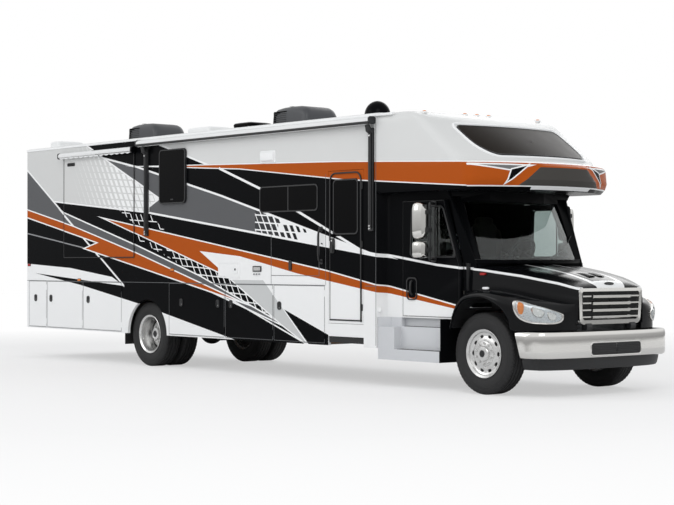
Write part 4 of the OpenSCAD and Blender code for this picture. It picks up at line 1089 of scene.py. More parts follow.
def hood_fittings():
    """A rolled lip round each wheel opening with its lamps, two scoops in the hood's top, and a bare oval
    badge."""
    form = Form()
    form.tube(fender_skin()[:116:2, -1] + [0, 0.006, 0], 0.011, 0, 8, (0, 1, 0))
    form.pebble((4.99, -1.20, 1.298), (0.05, 0.022, 0.016), 0.6, 1, 20, 10)
    form.plate(4.72, 1.455, 4.80, 1.485, 0.008, -1.0, -1.03, 1, 2)
    form.mirrored().build("fender_lips", "hood", (black_paint, gelcoat, red_lens), smooth=50)

    form = Form()
    for side in SIDES:
        form.prism([(5.86, 0.80), (5.935, 0.80), (5.95, 0.84), (5.94, 0.87), (5.90, 0.90), (5.86, 0.90)],
                   side * 0.353, side * 0.449)
    x, v = np.linspace(5.50, 5.70, 9)[:, None], np.linspace(-1, 1, 9)
    rise = 0.016 * np.sin(np.pi * np.minimum((x - 5.50) / 0.2 * 0.62, 1)) ** 0.7
    height = np.interp(x, HOOD_X, HOOD_TOP) + 0.002 + rise * (1 - np.abs(v) ** 4)
    for y in (-0.085, 0.085):
        form.sheet(np.stack([x + 0 * v, y + v * 0.065 + 0 * x, height], -1))
    form.build("hood_scoop", "hood", dark_plastic)

    turn = around(40)
    rings = []
    for s, lift in ((1.0, 0.0), (1.0, 0.006), (0.9, 0.010), (0.5, 0.011), (0.02, 0.011)):
        u = 0.018 * s * np.sin(turn)
        rings.append(np.stack([5.898 + u * 0.9 + lift, 0.085 * s * np.cos(turn),
                               1.352 - u * 0.9 + lift * 0.8], 1))
    Form().skin(rings).build("hood_badge", "hood", chassis_black)


def headlights():
    """Each lamp is laid on the fender skin: a bright bezel, a silver bowl with an amber end, two projector
    rings and a clear domed cover. Its outline is a blunted oval in fractions of the skin's rows and
    columns."""
    skin = fender_skin()
    turn = around(72)
    middle = np.array([0.772, 0.655])
    reach = 0.115 - 0.03 * np.cos(turn)
    oval = np.stack([0.112 * blunt(np.cos(turn), 0.75),
                     0.035 * np.cos(turn) + reach * blunt(np.sin(turn), 0.75)], 1)

    def ring(scale, off, centre=middle):
        """The outline scaled about a centre, standing off the thickened skin."""
        row, column = (centre + oval * scale).T
        return on_skin(skin, row, np.clip(column, 0, 0.985), -HOOD_SKIN - 0.0005 - off)

    form = Form()
    form.skin([ring(s, off) for s, off in ((1.12, 0.0), (1.12, 0.010), (1.06, 0.016), (1.0, 0.014),
                                           (0.98, 0.006))])
    form.skin([ring(s, 0.006 - 0.004 * (1 - s)) for s in np.linspace(0.98, 0.02, 9)], 4)
    form.skin([ring(s, 0.014 + 0.018 * (1 - s**3)) for s in np.linspace(1.0, 0.02, 10)], 3)
    for centre, size in (((0.765, 0.665), 0.42), ((0.832, 0.69), 0.34)):
        form.skin([ring((size * 0.62 * k, size * 1.3 * k), off, centre)
                   for k, off in ((1.0, 0.006), (0.86, 0.016), (0.5, 0.010), (0.03, 0.013))])
    form.skin([ring((0.13 * s, 0.7 * s), off, (0.688, 0.645))
               for s, off in ((1.0, 0.007), (0.8, 0.013), (0.02, 0.014))], 2)
    form.mirrored().build("headlamps", "hood", (chrome, polished, amber, lamp_glass, lamp_bowl),
                          "lamp_plastic", "headlights", smooth=50)


def grille():
    """A chrome surround with a notch for the badge panel, a dark mesh behind, and four rows of slats with a
    wide middle and short ends."""
    form = Form()
    outer = rounded(-0.585, 0.868, 0.585, 1.302, (0.05, 0.05, 0.075, 0.075), 8)
    inner = rounded(-0.528, 0.918, 0.528, 1.262, (0.03, 0.03, 0.05, 0.05), 8)

    def leaning(outline, x):
        """An outline that leans back toward its foot and its ends, and narrows downward."""
        y, z = outline.T
        return np.stack([x - 0.03 * (1.3 - z) - 0.02 * np.abs(y) / 0.585,
                         y * np.interp(z, (0.86, 1.30), (0.955, 1.0)), z], 1)

    form.skin([leaning(outer, 5.905), leaning(outer, 5.945), leaning(outer * [0.99, 1] - [0, 0.001], 5.957),
               leaning(inner, 5.955), leaning(inner, 5.93)])
    form.skin([leaning(inner, 5.93), leaning(inner * [0.02, 1], 5.915)], 1)
    for z in (0.955, 1.038, 1.121, 1.204):
        section = np.array([(5.905, -0.012), (5.948, -0.022), (5.962, -0.010), (5.960, 0.012), (5.945, 0.022),
                            (5.905, 0.012)]) - [0.03 * (1.3 - z), 0]
        form.prism(section + [-0.004, z], -0.345, 0.345)
        for side in SIDES:
            form.prism(section * [1, 0.8] + [-0.02, z], side * 0.36, side * 0.515)
            form.prism(section * [1, 0.5] + [-0.02, z], side * 0.34, side * 0.37, 1, 1)
    for y in np.arange(-0.50, 0.501, 0.022):
        form.prism([(5.902, 0.92), (5.906, 0.92), (5.918, 1.26), (5.914, 1.26)], y - 0.0015, y + 0.0015, 1, 2)
    form.build("grille_bars", "hood", (chrome, dark_plastic, chassis_black), "chrome_trim", "grille",
               bevel=0.002, smooth=40)


def plan_of(half, count):
    """A smooth plan through points on the left side, the middle one first, and their mirror image."""
    half = np.array(half)
    return curve(np.vstack([half[:0:-1] * [1, -1], half]), count)


def bumper():
    """Bright bumper: one upright section with rounded edges, swept round the plan of the nose, a dark mouth
    let into its middle, and panels behind it that close the gap under the grille."""
    plan = plan_of([(6.022, 0), (6.016, 0.45), (5.995, 0.68), (5.955, 0.90), (5.90, 1.06), (5.80, 1.165),
                    (5.62, 1.206), (5.40, 1.215)], 97)
    rows, out = swept(plan, [(-0.055, 0.466), (-0.03, 0.465), (-0.008, 0.478), (0.0, 0.51), (0.0, 0.56),
                             (0.001, 0.62), (0.001, 0.68), (0.0, 0.735), (-0.006, 0.768), (-0.022, 0.784),
                             (-0.055, 0.785)])
    end = np.interp(rows[:, 4, 0], (5.40, 5.75), (1, 0))[:, None]
    rows[:, :, 0] += end * (0.08 + 0.10 * (0.785 - rows[:, :, 2]) / 0.32)
    back = rows[:, ::-1].copy()
    back[:, :, :2] -= out[:, None] * 0.012
    form = Form().loft(np.concatenate([rows, back], axis=1))

    def front(y, z, off):
        """Points at a width and a height on the bumper's plan, moved ahead by an offset."""
        return np.stack([np.interp(y, plan[:, 1], plan[:, 0]) + off, y, z], 1)

    mouth = rounded(-0.45, 0.505, 0.45, 0.648, 0.04, 8)
    grown = rounded(-0.468, 0.488, 0.468, 0.665, 0.052, 8)
    form.skin([front(*grown.T, 0.0), front(*(grown + mouth).T / 2, 0.008), front(*mouth.T, 0.004)])
    form.skin([front(*(mouth * [s, 1]).T, 0.004) for s in np.linspace(1, 0.01, 12)], 1)
    y = np.linspace(-0.43, 0.43, 15)
    for z in (0.535, 0.577, 0.619):
        form.tube(front(y, np.full(15, z), 0.007), 0.0045, 2, 8)
    for side in SIDES:
        form.block(5.62, 0.69, 5.952, 0.775, side * 0.365, side * 0.40, 1, 2)
        form.block(5.64, 0.60, 5.652, 0.87, side * 0.40, side * 1.10, 1, 2)
    form.build("bumper_bar", VEHICLE, (chrome, chassis_black, dark_plastic), "chrome_trim", "front_bumper",
               smooth=40)
    low = plan_of([(5.95, 0), (5.942, 0.43), (5.90, 0.80), (5.80, 1.06), (5.70, 1.11), (5.52, 1.12)], 61)
    rows, _ = swept(low, [(0, 0.464), (-0.004, 0.42), (-0.018, 0.36), (-0.032, 0.335), (-0.044, 0.331),
                          (-0.05, 0.34), (-0.04, 0.38), (-0.03, 0.464)])
    Form().loft(rows).build("bumper_skirt", VEHICLE, dark_plastic, "dark_plastic", "bumper_valance",
                            smooth=40)


# ---------- cab ----------
CAB_WALL = -CAB_HALF
STEERING_LEAN = math.radians(62)
SEAT_PLACES = (-0.52, 0.52)


def windshield_edge():
    """Corner points round the windshield, on its face: a line that leans back with height, less an arc
    across."""
    ring = []
    for y0, z0, y1, z1 in ((-0.84, 1.66, 0.84, 1.66), (0.87, 1.69, 0.80, 2.34), (0.77, 2.37, -0.77, 2.37),
                           (-0.80, 2.34, -0.87, 1.69)):
        y, z = np.linspace(y0, y1, 16), np.linspace(z0, z1, 16)
        face = np.interp(z, (1.645, 2.38), (4.635, 4.305)) - (2.6 - np.sqrt(2.6**2 - y**2)) * 0.9
        ring.append(np.stack([face, y, z], 1))
    return np.vstack(ring)


def narrowed(piece):
    """Draws the cab's front corners in: the sides turn inward over the last 22 cm before the windshield's
    rake."""
    spots = np.empty(len(piece.data.vertices) * 3)
    piece.data.vertices.foreach_get("co", spots)
    x, y, z = spots.reshape(-1, 3).T
    ahead = x - np.interp(z, (1.6, 2.38), (4.605, 4.26))
    tall = np.interp(z, (2.38, 2.46), (1, 0)) * np.interp(z, (0.9, 1.2), (0, 1))
    turn = np.clip((ahead + 0.22) / 0.22, 0, 1) * tall
    y -= np.sign(y) * np.maximum(np.abs(y) - 0.88, 0) * 0.62 * turn**1.3
    piece.data.vertices.foreach_set("co", spots)


def cab():
    """The cab shell with its corners drawn in, the windshield's seal, and two wipers on their spindles."""
    narrowed(softened("cab_shell", side_paint, 0.008))
    form = Form()
    form.tube(windshield_edge(), 0.013, 0, 8, (0.9, 0, 0.43), ring=True)
    for y in (-0.62, 0.30):
        base = np.array([4.705 - 0.12 * abs(y), y, 1.655])
        tip = np.array([4.545 - 0.05 * abs(y), y + 0.42, 1.80])
        form.lathe([(0, -0.012), (0.022, -0.012), (0.024, 0.0), (0.018, 0.022), (0, 0.026)], base, 2, 0, 20)
        form.tube([base + [0, 0, 0.015], (base + tip) / 2 + [0.018, 0, 0.0], tip], (0.010, 0.008, 0.006), 0,
                  8)
        s = np.linspace(-1, 1, 9)
        form.tube(tip + np.stack([-0.075 * s - 0.006 * s * s, 0.21 * s, 0.16 * s], 1), 0.007, 0, 8)
    form.block(4.46, 1.645, 4.59, 1.652, -0.98, 0.98)
    form.build("wipers_and_seals", VEHICLE, dark_plastic, smooth=50)


def cab_door(left):
    """The window's seal and post, a handle as a bowed bar over a dished plate, and the door's shut line."""
    name = "left" if left else "right"
    form = Form()
    outline = np.array([(3.57, 1.68), (4.39, 1.68), (4.38, 1.74), (4.165, 2.32), (3.60, 2.32)])
    share = np.linspace(0.06, 0.94, 8)[:, None]
    loop = np.vstack([a + (b - a) * share for a, b in zip(outline, np.roll(outline, -1, 0))])
    form.tube(at(loop, CAB_WALL - 0.001, 1), 0.012, 0, 8, (0, 1, 0), ring=True)
    form.tube([(4.02, CAB_WALL + 0.004, 1.68), (4.02, CAB_WALL + 0.004, 2.32)], 0.010, 0, 8, (0, 1, 0))
    dish = (3.50, 1.13, 3.70, 1.42)
    form.hoop(inset(dish, 0, 0.06), inset(dish, 0.015, 0.05), CAB_WALL, CAB_WALL - 0.012)
    form.plate(3.53, 1.16, 3.67, 1.39, 0.045, CAB_WALL - 0.001, CAB_WALL - 0.005, 1, 1)
    bar = ((0.002, 1.20), (0.03, 1.23), (0.034, 1.30), (0.026, 1.36), (0.002, 1.375))
    form.tube([(3.60, CAB_WALL - out, z) for out, z in bar], 0.014, 0, 10, (1, 0, 0))
    seam = np.array([(3.425, 0.925), (4.32, 0.925), (4.46, 1.07), (4.46, 1.56), (4.18, 2.395),
                     (3.425, 2.395)])
    inward = seam.mean(0) - seam
    form.hoop(seam + inward * 0.003, seam + inward * 0.008, CAB_WALL - 0.0005, CAB_WALL - 0.003)
    form.build(name + "_door_trim", name + "_cab_door", (dark_plastic, black_paint), left=left, smooth=50)
    softened(name + "_cab_door", side_paint, 0.004)


def mirror(left):
    """Two mirror heads on a bent arm from the door: each shell is a blunted oval that shrinks forward, with
    its glass facing back."""
    name = "left" if left else "right"
    turn = around(36)
    wide, tall = blunt(np.cos(turn), 0.45), blunt(np.sin(turn), 0.45)
    form = Form()
    for low, high in ((1.90, 2.365), (1.665, 1.88)):
        rings = []
        for x, s in ((3.932, 0.90), (3.928, 0.97), (3.945, 1.0), (3.99, 1.0), (4.04, 0.95), (4.07, 0.75),
                     (4.08, 0.35), (4.081, 0.02)):
            rise = 0.5 + 0.5 * s if s < 0.9 else s
            z = (low + high) / 2 + (high - low) / 2 * rise * tall
            rings.append(np.stack([np.full(36, x), -1.342 + 0.092 * s * wide, z], 1))
        form.skin(rings)
        pane = rings[0] * [1, 0.995, 1] + [0.002, -0.006, 0]
        middle = pane.mean(0)
        form.skin([rings[0]] + [middle + (pane - middle) * s for s in (0.96, 0.4, 0.02)], 2)
    foot = [(4.01, -1.131), (4.04, -1.20), (4.09, -1.275)]
    post = [(4.098, -1.292, z) for z in (1.70, 1.89, 2.10, 2.30)]
    lower = [(*spot, z) for spot, z in zip(foot, (1.648, 1.648, 1.650))]
    upper = [(*spot, z) for spot, z in zip(foot[::-1], (2.352, 2.353, 2.353))]
    form.tube(curve(lower + post + upper, 60), 0.018, 1, 12, (1, 0, 0))
    for z in (1.648, 2.353):
        form.plate(3.96, z - 0.03, 4.06, z + 0.03, 0.02, -1.131, -1.145, 1, 1)
    for z in (1.77, 2.02, 2.24):
        form.plate(4.05, z - 0.028, 4.115, z + 0.028, 0.012, -1.27, -1.33, 1, 1)
    form.build(name + "_mirror_pair", name + "_cab_door", (chrome, dark_plastic, mirror_glass), "chrome_trim",
               name + "_mirror", left, smooth=40)


def seats():
    """Two padded seats: cushion, back, bolsters and head pad as rounded blocks, on boxed pedestals with
    rails."""
    form = Form()
    for y in SEAT_PLACES:
        form.pebble((3.545, y, 1.475), (0.275, 0.262, 0.072), 0.42)
        form.pebble((3.25, y, 1.80), (0.075, 0.235, 0.345), 0.45)
        form.pebble((3.245, y, 2.145), (0.055, 0.15, 0.078), 0.5)
        for side in SIDES:
            form.pebble((3.29, y + side * 0.205, 1.77), (0.07, 0.045, 0.29), 0.55)
            form.pebble((3.55, y + side * 0.235, 1.495), (0.25, 0.035, 0.062), 0.55)
            form.tube([(3.27, y + side * 0.275, 1.68), (3.45, y + side * 0.285, 1.69),
                       (3.56, y + side * 0.28, 1.685)], (0.028, 0.03, 0.024), 0, 12)
    form.build("cab_seats_padded", VEHICLE, seat_cloth, "seat_fabric", "cab_seats", smooth=60)
    form = Form()
    for y in SEAT_PLACES:
        form.loft([at(inset((3.36, y - 0.22, 3.74, y + 0.22), depth, 0.03), z, 2)
                   for z, depth in ((1.101, 0), (1.12, 0.015), (1.36, 0.03), (1.40, 0.0))])
        for side in SIDES:
            form.tube([(3.34, y + side * 0.17, 1.402), (3.76, y + side * 0.17, 1.402)], 0.012, 0, 8)
    form.build("seat_pedestals", VEHICLE, dark_plastic, bevel=0.002)


def dash():
    """The dashboard with its hooded gauges, and the steering wheel as a ring with three spokes and a padded
    hub."""
    form = Form()
    form.prism(curve([(4.545, 1.26), (4.15, 1.262), (4.128, 1.32), (4.126, 1.50), (4.15, 1.55), (4.25, 1.60),
                      (4.40, 1.605), (4.545, 1.60)], 40), -1.055, 1.055)
    form.pebble((4.20, 0.48, 1.60), (0.10, 0.26, 0.055), 0.6)
    form.plate(4.30, 1.101, 4.545, 1.27, 0.02, -0.2, 0.2)
    hub = np.array([3.97, 0.50, 1.73])
    cos, sin = math.cos(STEERING_LEAN), math.sin(STEERING_LEAN)
    up, aside, toward = np.array([cos, 0, sin]), np.array([0, 1, 0]), np.array([-sin, 0, cos])
    turn = around(64)[:, None]
    form.tube(hub + 0.215 * (np.cos(turn) * up + np.sin(turn) * aside), 0.016, 1, 12, toward, ring=True)
    for angle in np.radians((180, 60, -60)):
        spoke = math.cos(angle) * up + math.sin(angle) * aside
        form.tube([hub + spoke * 0.03, hub + spoke * 0.13 - toward * 0.006, hub + spoke * 0.212],
                  (0.022, 0.015, 0.012), 1, 10, toward)
    form.tube([hub + toward * 0.014, hub - toward * 0.01], (0.05, 0.065), 1, 28, (0, 1, 0))
    form.tube([hub - toward * 0.01, hub - toward * 0.12, (4.18, 0.50, 1.50)], (0.035, 0.032, 0.04), 0, 20,
              (0, 1, 0))
    for y in (0.36, 0.48, 0.60):
        form.lathe([(0, -0.004), (0.045, -0.004), (0.05, 0.0), (0.045, 0.003), (0, 0.003)], (4.123, y, 1.50),
                   0, 2, 28)
    form.build("dash_and_wheel", VEHICLE, (dark_plastic, rubber, dark_glass), "dark_plastic", "dashboard",
               bevel=0.0015, smooth=45)


def fairing_group():
    """Pale silver steps, and black from the splash guard forward."""
    tree, _, along, _, _, colour = paint_group("fairing")
    guard = sums(tree, "GREATER_THAN", along, 4.239)
    tree.links.new(blend_of(tree, guard, tone(208, 210, 213), BLACK), colour)
    return tree


fairing_silver = finish("fairing_silver", fairing_group(), 0.3, MOULDED_GRAIN, **GLOSS)


def steps():
    """Moulded step fairing below each cab door with two ribbed treads, and a round marker behind it."""
    softened("cab_steps", fairing_silver, 0.012)
    form = Form()
    for z, y0, y1 in ((0.5015, -1.255, -1.15), (0.7915, -1.125, -1.07)):
        form.plate(3.44, y0, 4.22, y1, 0.012, z - 0.0012, z + 0.003, 2, 0)
        for x in np.arange(3.47, 4.20, 0.03):
            form.plate(x, y0 + 0.012, x + 0.012, y1 - 0.012, 0.004, z + 0.003, z + 0.006, 2, 1, 3)
    form.mirrored().build("step_treads", VEHICLE, (dark_plastic, polished))
    form = Form().lathe([(0, -0.012), (0.028, -0.012), (0.034, -0.006), (0.036, 0.0), (0, 0.0)],
                        (3.13, -1.2625, 1.0), 1, 0, 28)
    form.mirrored().build("round_markers", VEHICLE, gelcoat)


hood()
hood_fittings()
headlights()
grille()
bumper()
cab()
seats()
dash()
steps()
for left in (False, True):
    cab_door(left)
    mirror(left)


# ---------- doors, hatches and lamps on the coach ----------
def entry_door_trim():
    """The entry door's seal as an arched black tube, its pane, lever plate, hinges and dark sill line."""
    form = Form()
    wall = -HALF
    turn = np.linspace(0, np.pi / 2, 8)
    back, front, top, r = 2.15, 2.785, 2.80, 0.11
    path = [(front, 0.83)] + [(front, z) for z in np.linspace(1.0, top - r, 12)]
    path += [(front - r + r * math.cos(a), top - r + r * math.sin(a)) for a in turn[1:]]
    path += [(back + r - r * math.sin(a), top - r + r * math.cos(a)) for a in turn]
    path += [(back, z) for z in np.linspace(top - r, 1.9, 8)[1:]]
    form.tube(at(path, wall - 0.010, 1), 0.011, 0, 10, (0, 1, 0))
    form.plate(2.135, 0.835, 2.80, 0.855, 0.008, wall - 0.006, wall)
    form.block(2.136, 0.855, 2.147, 1.90, wall - 0.004, wall)
    window(form, (2.225, 2.00, 2.70, 2.70), -1, 0.0, 3, 0)
    form.plate(2.155, 1.735, 2.245, 1.935, 0.03, wall - 0.020, wall, 1, 1)
    form.plate(2.17, 1.755, 2.23, 1.85, 0.02, wall - 0.034, wall - 0.018, 1, 1)
    form.lathe([(0, -0.03), (0.012, -0.028), (0.014, -0.018), (0, -0.018)], (2.20, wall, 1.90), 1, 2, 20)
    for z in (1.02, 1.85, 2.62):
        form.plate(2.77, z - 0.045, 2.815, z + 0.045, 0.012, wall - 0.012, wall, 1, 1)
    form.build("entry_door_trim", "entry_door", (dark_plastic, chassis_black, polished, dark_glass),
               bevel=0.001, smooth=45)


def latch(form, x, z, side=-1):
    """A paddle latch: an oval plate with a raised lip round a dipped paddle."""
    wall = side * HALF
    oval = (x - 0.042, z - 0.058, x + 0.042, z + 0.058)
    inner = inset(oval, 0.012, 0.026)
    form.hoop(inset(oval, 0, 0.034), inner, wall, wall + side * 0.010)
    form.prism(inner, wall, wall + side * 0.004)
    form.plate(x - 0.020, z - 0.008, x + 0.020, z + 0.036, 0.014, wall, wall + side * 0.009)
    form.plate(x - 0.006, z - 0.036, x + 0.006, z - 0.022, 0.005, wall, wall + side * 0.006, 1, 1)


LOCKERS = {  # back and front of each door, then the places of its latches
    "right": ((-5.955, -5.36, -5.72), (-5.34, -4.20, -5.21), (-4.18, -3.02, -4.02),
              (-1.69, -0.26, -1.36, -0.42), (-0.24, 0.89, -0.10), (0.91, 2.03, 1.04)),
    "left": ((-5.34, -4.20, -4.35), (-4.18, -3.02, -3.17), (-0.24, 2.03, 0.2, 1.6))}


def locker_trims():
    """On each locker door: a rubber edge line and its latches."""
    for flank, side in (("right", -1), ("left", 1)):
        wall = side * HALF
        for number, (back, front, *latches) in enumerate(LOCKERS[flank], 1):
            form = Form()
            for x in latches:
                latch(form, x, 1.01, side)
            door = (back, 0.521, front, 1.299)
            form.hoop(inset(door, 0.003, 0.012), inset(door, 0.009, 0.010), wall - side * 0.002,
                      wall + side * 0.0015, 1, 2)
            form.build(f"{flank}_locker_trim_{number}", f"{flank}_locker_door_{number}",
                       (dark_plastic, polished, seam_grey), bevel=0.0008)


def side_lamps():
    """Marker lamps as small domed lozenges: red at the tail, amber along the sides."""
    form = Form()
    for side in SIDES:
        face = side * (HALF + 0.004)
        for x, z, lens in ((-5.95, 1.57, 0), (-4.30, 1.325, 1), (-1.60, 1.50, 1)):
            form.pebble((x, face, z), (0.045, 0.012, 0.018), 0.55, lens, 20, 10)
            form.plate(x - 0.052, z - 0.024, x + 0.052, z + 0.024, 0.012, side * HALF, face, 1, 2)
    form.build("side_lamps", VEHICLE, (red_lens, amber, dark_plastic))


def right_wall_fittings():
    """Porch lamp, assist handle, service hatches, wall seams and trims on the right wall."""
    form = Form()
    wall = -HALF
    form.plate(0.61, 3.01, 0.96, 3.18, 0.02, wall - 0.012, wall)
    form.loft([at(inset((0.63, 3.028, 0.94, 3.162), depth, 0.018), wall - out, 1)
               for out, depth in ((0.012, 0), (0.035, 0.006), (0.045, 0.02))])
    bar = ((0, 2.06), (0.045, 2.045), (0.062, 1.97), (0.064, 1.84), (0.062, 1.71), (0.045, 1.635), (0, 1.62))
    form.tube(curve([(1.965, wall - out, z) for out, z in bar], 40), 0.014, 1, 12, (1, 0, 0))
    for z in (2.06, 1.62):
        form.plate(1.94, z - 0.035, 1.99, z + 0.035, 0.02, wall - 0.008, wall, 1, 1)
    hatch = (-0.41, 1.39, 0.12, 1.62)
    form.hoop(inset(hatch, 0, 0.02), inset(hatch, 0.02, 0.012), wall - 0.006, wall)
    form.prism(inset(hatch, 0.022, 0.012), wall - 0.003, wall)
    form.plate(-0.03, 1.455, 0.06, 1.56, 0.01, wall - 0.012, wall)
    form.lathe([(0, -0.018), (0.016, -0.016), (0.018, -0.01), (0, -0.01)], (0.015, wall, 1.51), 1, 1, 24)
    form.plate(0.43, 1.48, 0.63, 1.56, 0.01, wall - 0.010, wall, 1, 1)
    form.plate(0.45, 1.495, 0.61, 1.545, 0.006, wall - 0.014, wall - 0.008, 1, 3)
    for x in (0.47, 0.53, 0.59):
        form.lathe([(0, -0.024), (0.010, -0.022), (0.012, -0.01), (0, -0.01)], (x, wall, 1.445), 1, 4, 18)
    form.plate(1.26, 1.50, 1.32, 1.64, 0.025, wall - 0.016, wall, 1, 1)
    low, high = PANEL_LINE
    for x0, z0, x1, z1, out in ((0.848, 1.31, 0.856, 2.12, 0.002), (1.905, 1.43, 1.915, 2.11, 0.002),
                                (2.048, 1.31, 2.054, 2.80, 0.002), (0.86, 1.425, 1.91, 1.433, 0.002),
                                (3.068, 0.53, 3.076, 3.50, 0.002), (-6.015, low, 2.04, high, 0.003),
                                (2.86, low, 3.07, high, 0.003)):
        form.block(x0, z0, x1, z1, wall - out, wall, 1, 2)
    form.build("wall_fittings", VEHICLE, (gelcoat, dark_plastic, seam_grey, polished, galvanised),
               bevel=0.001)


def left_wall_fittings():
    """The left wall's seam, and two louvred service hatches with their latches."""
    form = Form()
    wall = HALF
    low, high = PANEL_LINE
    form.block(-6.015, low, 3.07, high, wall, wall + 0.003)
    for hatch in ((2.35, 1.45, 2.75, 1.75), (-5.6, 1.45, -5.2, 1.75)):
        x0, z0, x1, z1 = hatch
        form.hoop(inset(hatch, 0, 0.02), inset(hatch, 0.02, 0.012), wall, wall + 0.007, 1, 1)
        for z in np.arange(z0 + 0.05, z1 - 0.04, 0.03):
            form.block(x0 + 0.04, z, x1 - 0.04, z + 0.012, wall, wall + 0.004, 1, 2)
        latch(form, (x0 + x1) / 2, z1 + 0.12, 1)
    form.build("left_wall_fittings", VEHICLE, (seam_grey, gelcoat, dark_plastic), bevel=0.001)


def wiper_seal(form, box, low, high):
    """The rubber frame round a slide-out room's face."""
    x0, z0, x1, z1 = box
    form.hoop(rounded(x0 - 0.045, z0 - 0.045, x1 + 0.045, z1 + 0.035, 0.02),
              rounded(x0 - 0.03, z0 - 0.03, x1 + 0.03, z1 + 0.02, 0.015), low, high)


def slide_trims():
    """A rubber wiper seal framing each slide-out room, the vent slot of the right one and the left one's
    window."""
    form = Form()
    face = -HALF - ROOM
    wiper_seal(form, (-4.735, 1.73, -2.685, 3.38), face - 0.003, face)
    form.plate(-4.66, 3.20, -4.42, 3.255, 0.02, face - 0.006, face)
    for x in np.arange(-4.64, -4.44, 0.03):
        form.plate(x, 3.21, x + 0.012, 3.245, 0.005, face - 0.010, face - 0.005, steps=3)
    form.build("right_slide_trim", "right_slide_room", rubber)
    form = Form()
    face = HALF + ROOM
    wiper_seal(form, (-1.70, 1.43, 2.20, 3.38), face, face + 0.003)
    pane = (-0.72, 2.33, 1.22, 2.97)
    form.hoop(inset(pane, 0, 0.06), inset(pane, 0.02, 0.05), face - 0.004, face + 0.008, 1, 1)
    form.build("left_slide_trim", "left_slide_room", (rubber, dark_plastic))


def rear_livery_group():
    """The side's stripes carried round onto the rear wall: depth from the corner stands in for the way along
    the side, and the panel below the seam stays white."""
    tree, _, _, aside, height, colour = paint_group("rear_stripes")
    across = single(tree, "ABSOLUTE", aside)
    along = sums(tree, "ADD", sums(tree, "MULTIPLY", across, 0.5), TAIL - 0.5 * HALF)
    side = painted(tree, flat_place(tree, along, height), LIVERY)
    panel = sums(tree, "GREATER_THAN", 1.30, height)
    tree.links.new(blend_of(tree, panel, side, WHITE), colour)
    return tree


rear_paint = finish("rear_paint", rear_livery_group(), 0.25, FINE_GRAIN, **GLOSS)


def rear_end():
    """The rear wall with eased edges, its tail lamps, upper markers, a blank plate with a hooded lamp, and a
    camera."""
    softened("rear_wall", rear_paint, 0.012)
    form = Form()
    for side in SIDES:
        y = side * 1.08
        for z, lens in ((1.06, 0), (0.90, 1), (0.77, 3)):
            lamp = (y - 0.085, z - 0.06, y + 0.085, z + 0.06)
            ring = inset(lamp, 0, 0.04)
            form.hoop(ring, inset(lamp, 0.013, 0.03), TAIL - 0.010, TAIL, 0, 2)
            inward = ring.mean(0) - ring
            form.loft([at(ring + inward * s, TAIL - out, 0)
                       for s, out in ((0.15, 0.002), (0.2, 0.012), (0.5, 0.018), (0.95, 0.02))], lens)
        form.lathe([(0, -0.012), (0.028, -0.010), (0.032, 0.0), (0, 0.0)], (TAIL, y, 0.62), 0, 0, 28)
    for y in (-0.95, -0.15, 0, 0.15, 0.95):
        form.pebble((TAIL - 0.006, y, 3.44), (0.014, 0.045, 0.018), 0.6, 0, 20, 10)
    form.plate(-0.19, 0.72, 0.19, 0.92, 0.02, TAIL - 0.008, TAIL, 0, 2)
    form.plate(-0.165, 0.745, 0.165, 0.895, 0.012, TAIL - 0.011, TAIL - 0.006, 0, 4)
    form.pebble((TAIL - 0.015, 0, 0.955), (0.025, 0.06, 0.016), 0.5, 2, 20, 10)
    form.pebble((TAIL - 0.02, 0, 3.28), (0.03, 0.05, 0.035), 0.5, 2, 20, 10)
    form.block(-1.2, PANEL_LINE[0], 1.2, PANEL_LINE[1], TAIL - 0.003, TAIL, 0, 2)
    hatch = (-0.52, 0.54, 0.52, 1.27)
    form.hoop(inset(hatch, 0, 0.03), inset(hatch, 0.008, 0.025), TAIL - 0.002, TAIL, 0, 2)
    form.build("tail_fittings", VEHICLE, (red_lens, amber, dark_plastic, gelcoat, polished), bevel=0.001)


# ---------- running gear ----------
def undercarriage():
    """Eased copies of the plain frame parts, and a radiator with its fins ahead of the engine."""
    for name, material, width in (("chassis_frame", chassis_black, 0.004),
                                  ("front_axle", chassis_black, 0.006), ("rear_axle", chassis_black, 0.006),
                                  ("leaf_springs", chassis_black, 0.002), ("engine", casting, 0.008),
                                  ("mud_flaps", rubber, 0.003), ("entry_step", chassis_black, 0.004),
                                  ("coach_floor", floor_board, 0.003),
                                  ("right_slide_room", side_paint, 0.004),
                                  ("left_slide_room", side_paint, 0.004)):
        softened(name, material, width)
    form = Form()
    form.plate(-0.46, 0.74, 0.46, 1.27, 0.02, 5.70, 5.76, 0, 0)
    for z in np.arange(0.77, 1.25, 0.016):
        form.block(-0.43, z, 0.43, z + 0.003, 5.758, 5.768, 0, 1)
    form.build("radiator", VEHICLE, (chassis_black, galvanised))


entry_door_trim()
locker_trims()
side_lamps()
right_wall_fittings()
left_wall_fittings()
slide_trims()
rear_end()
undercarriage()


# ---------- room, light and camera ----------
def staged(name, points, faces):
    """A mesh of the room, which the object doesn't carry along; returns its object and its material's
    node tree."""
    mesh = bpy.data.meshes.new(name)
    mesh.from_pydata(points, [], faces)
    thing = bpy.data.objects.new(name, mesh)
    bpy.context.scene.collection.objects.link(thing)
    material = bpy.data.materials.new(name + "_finish")
    material.use_nodes = True
    mesh.materials.append(material)
    return thing, material.node_tree


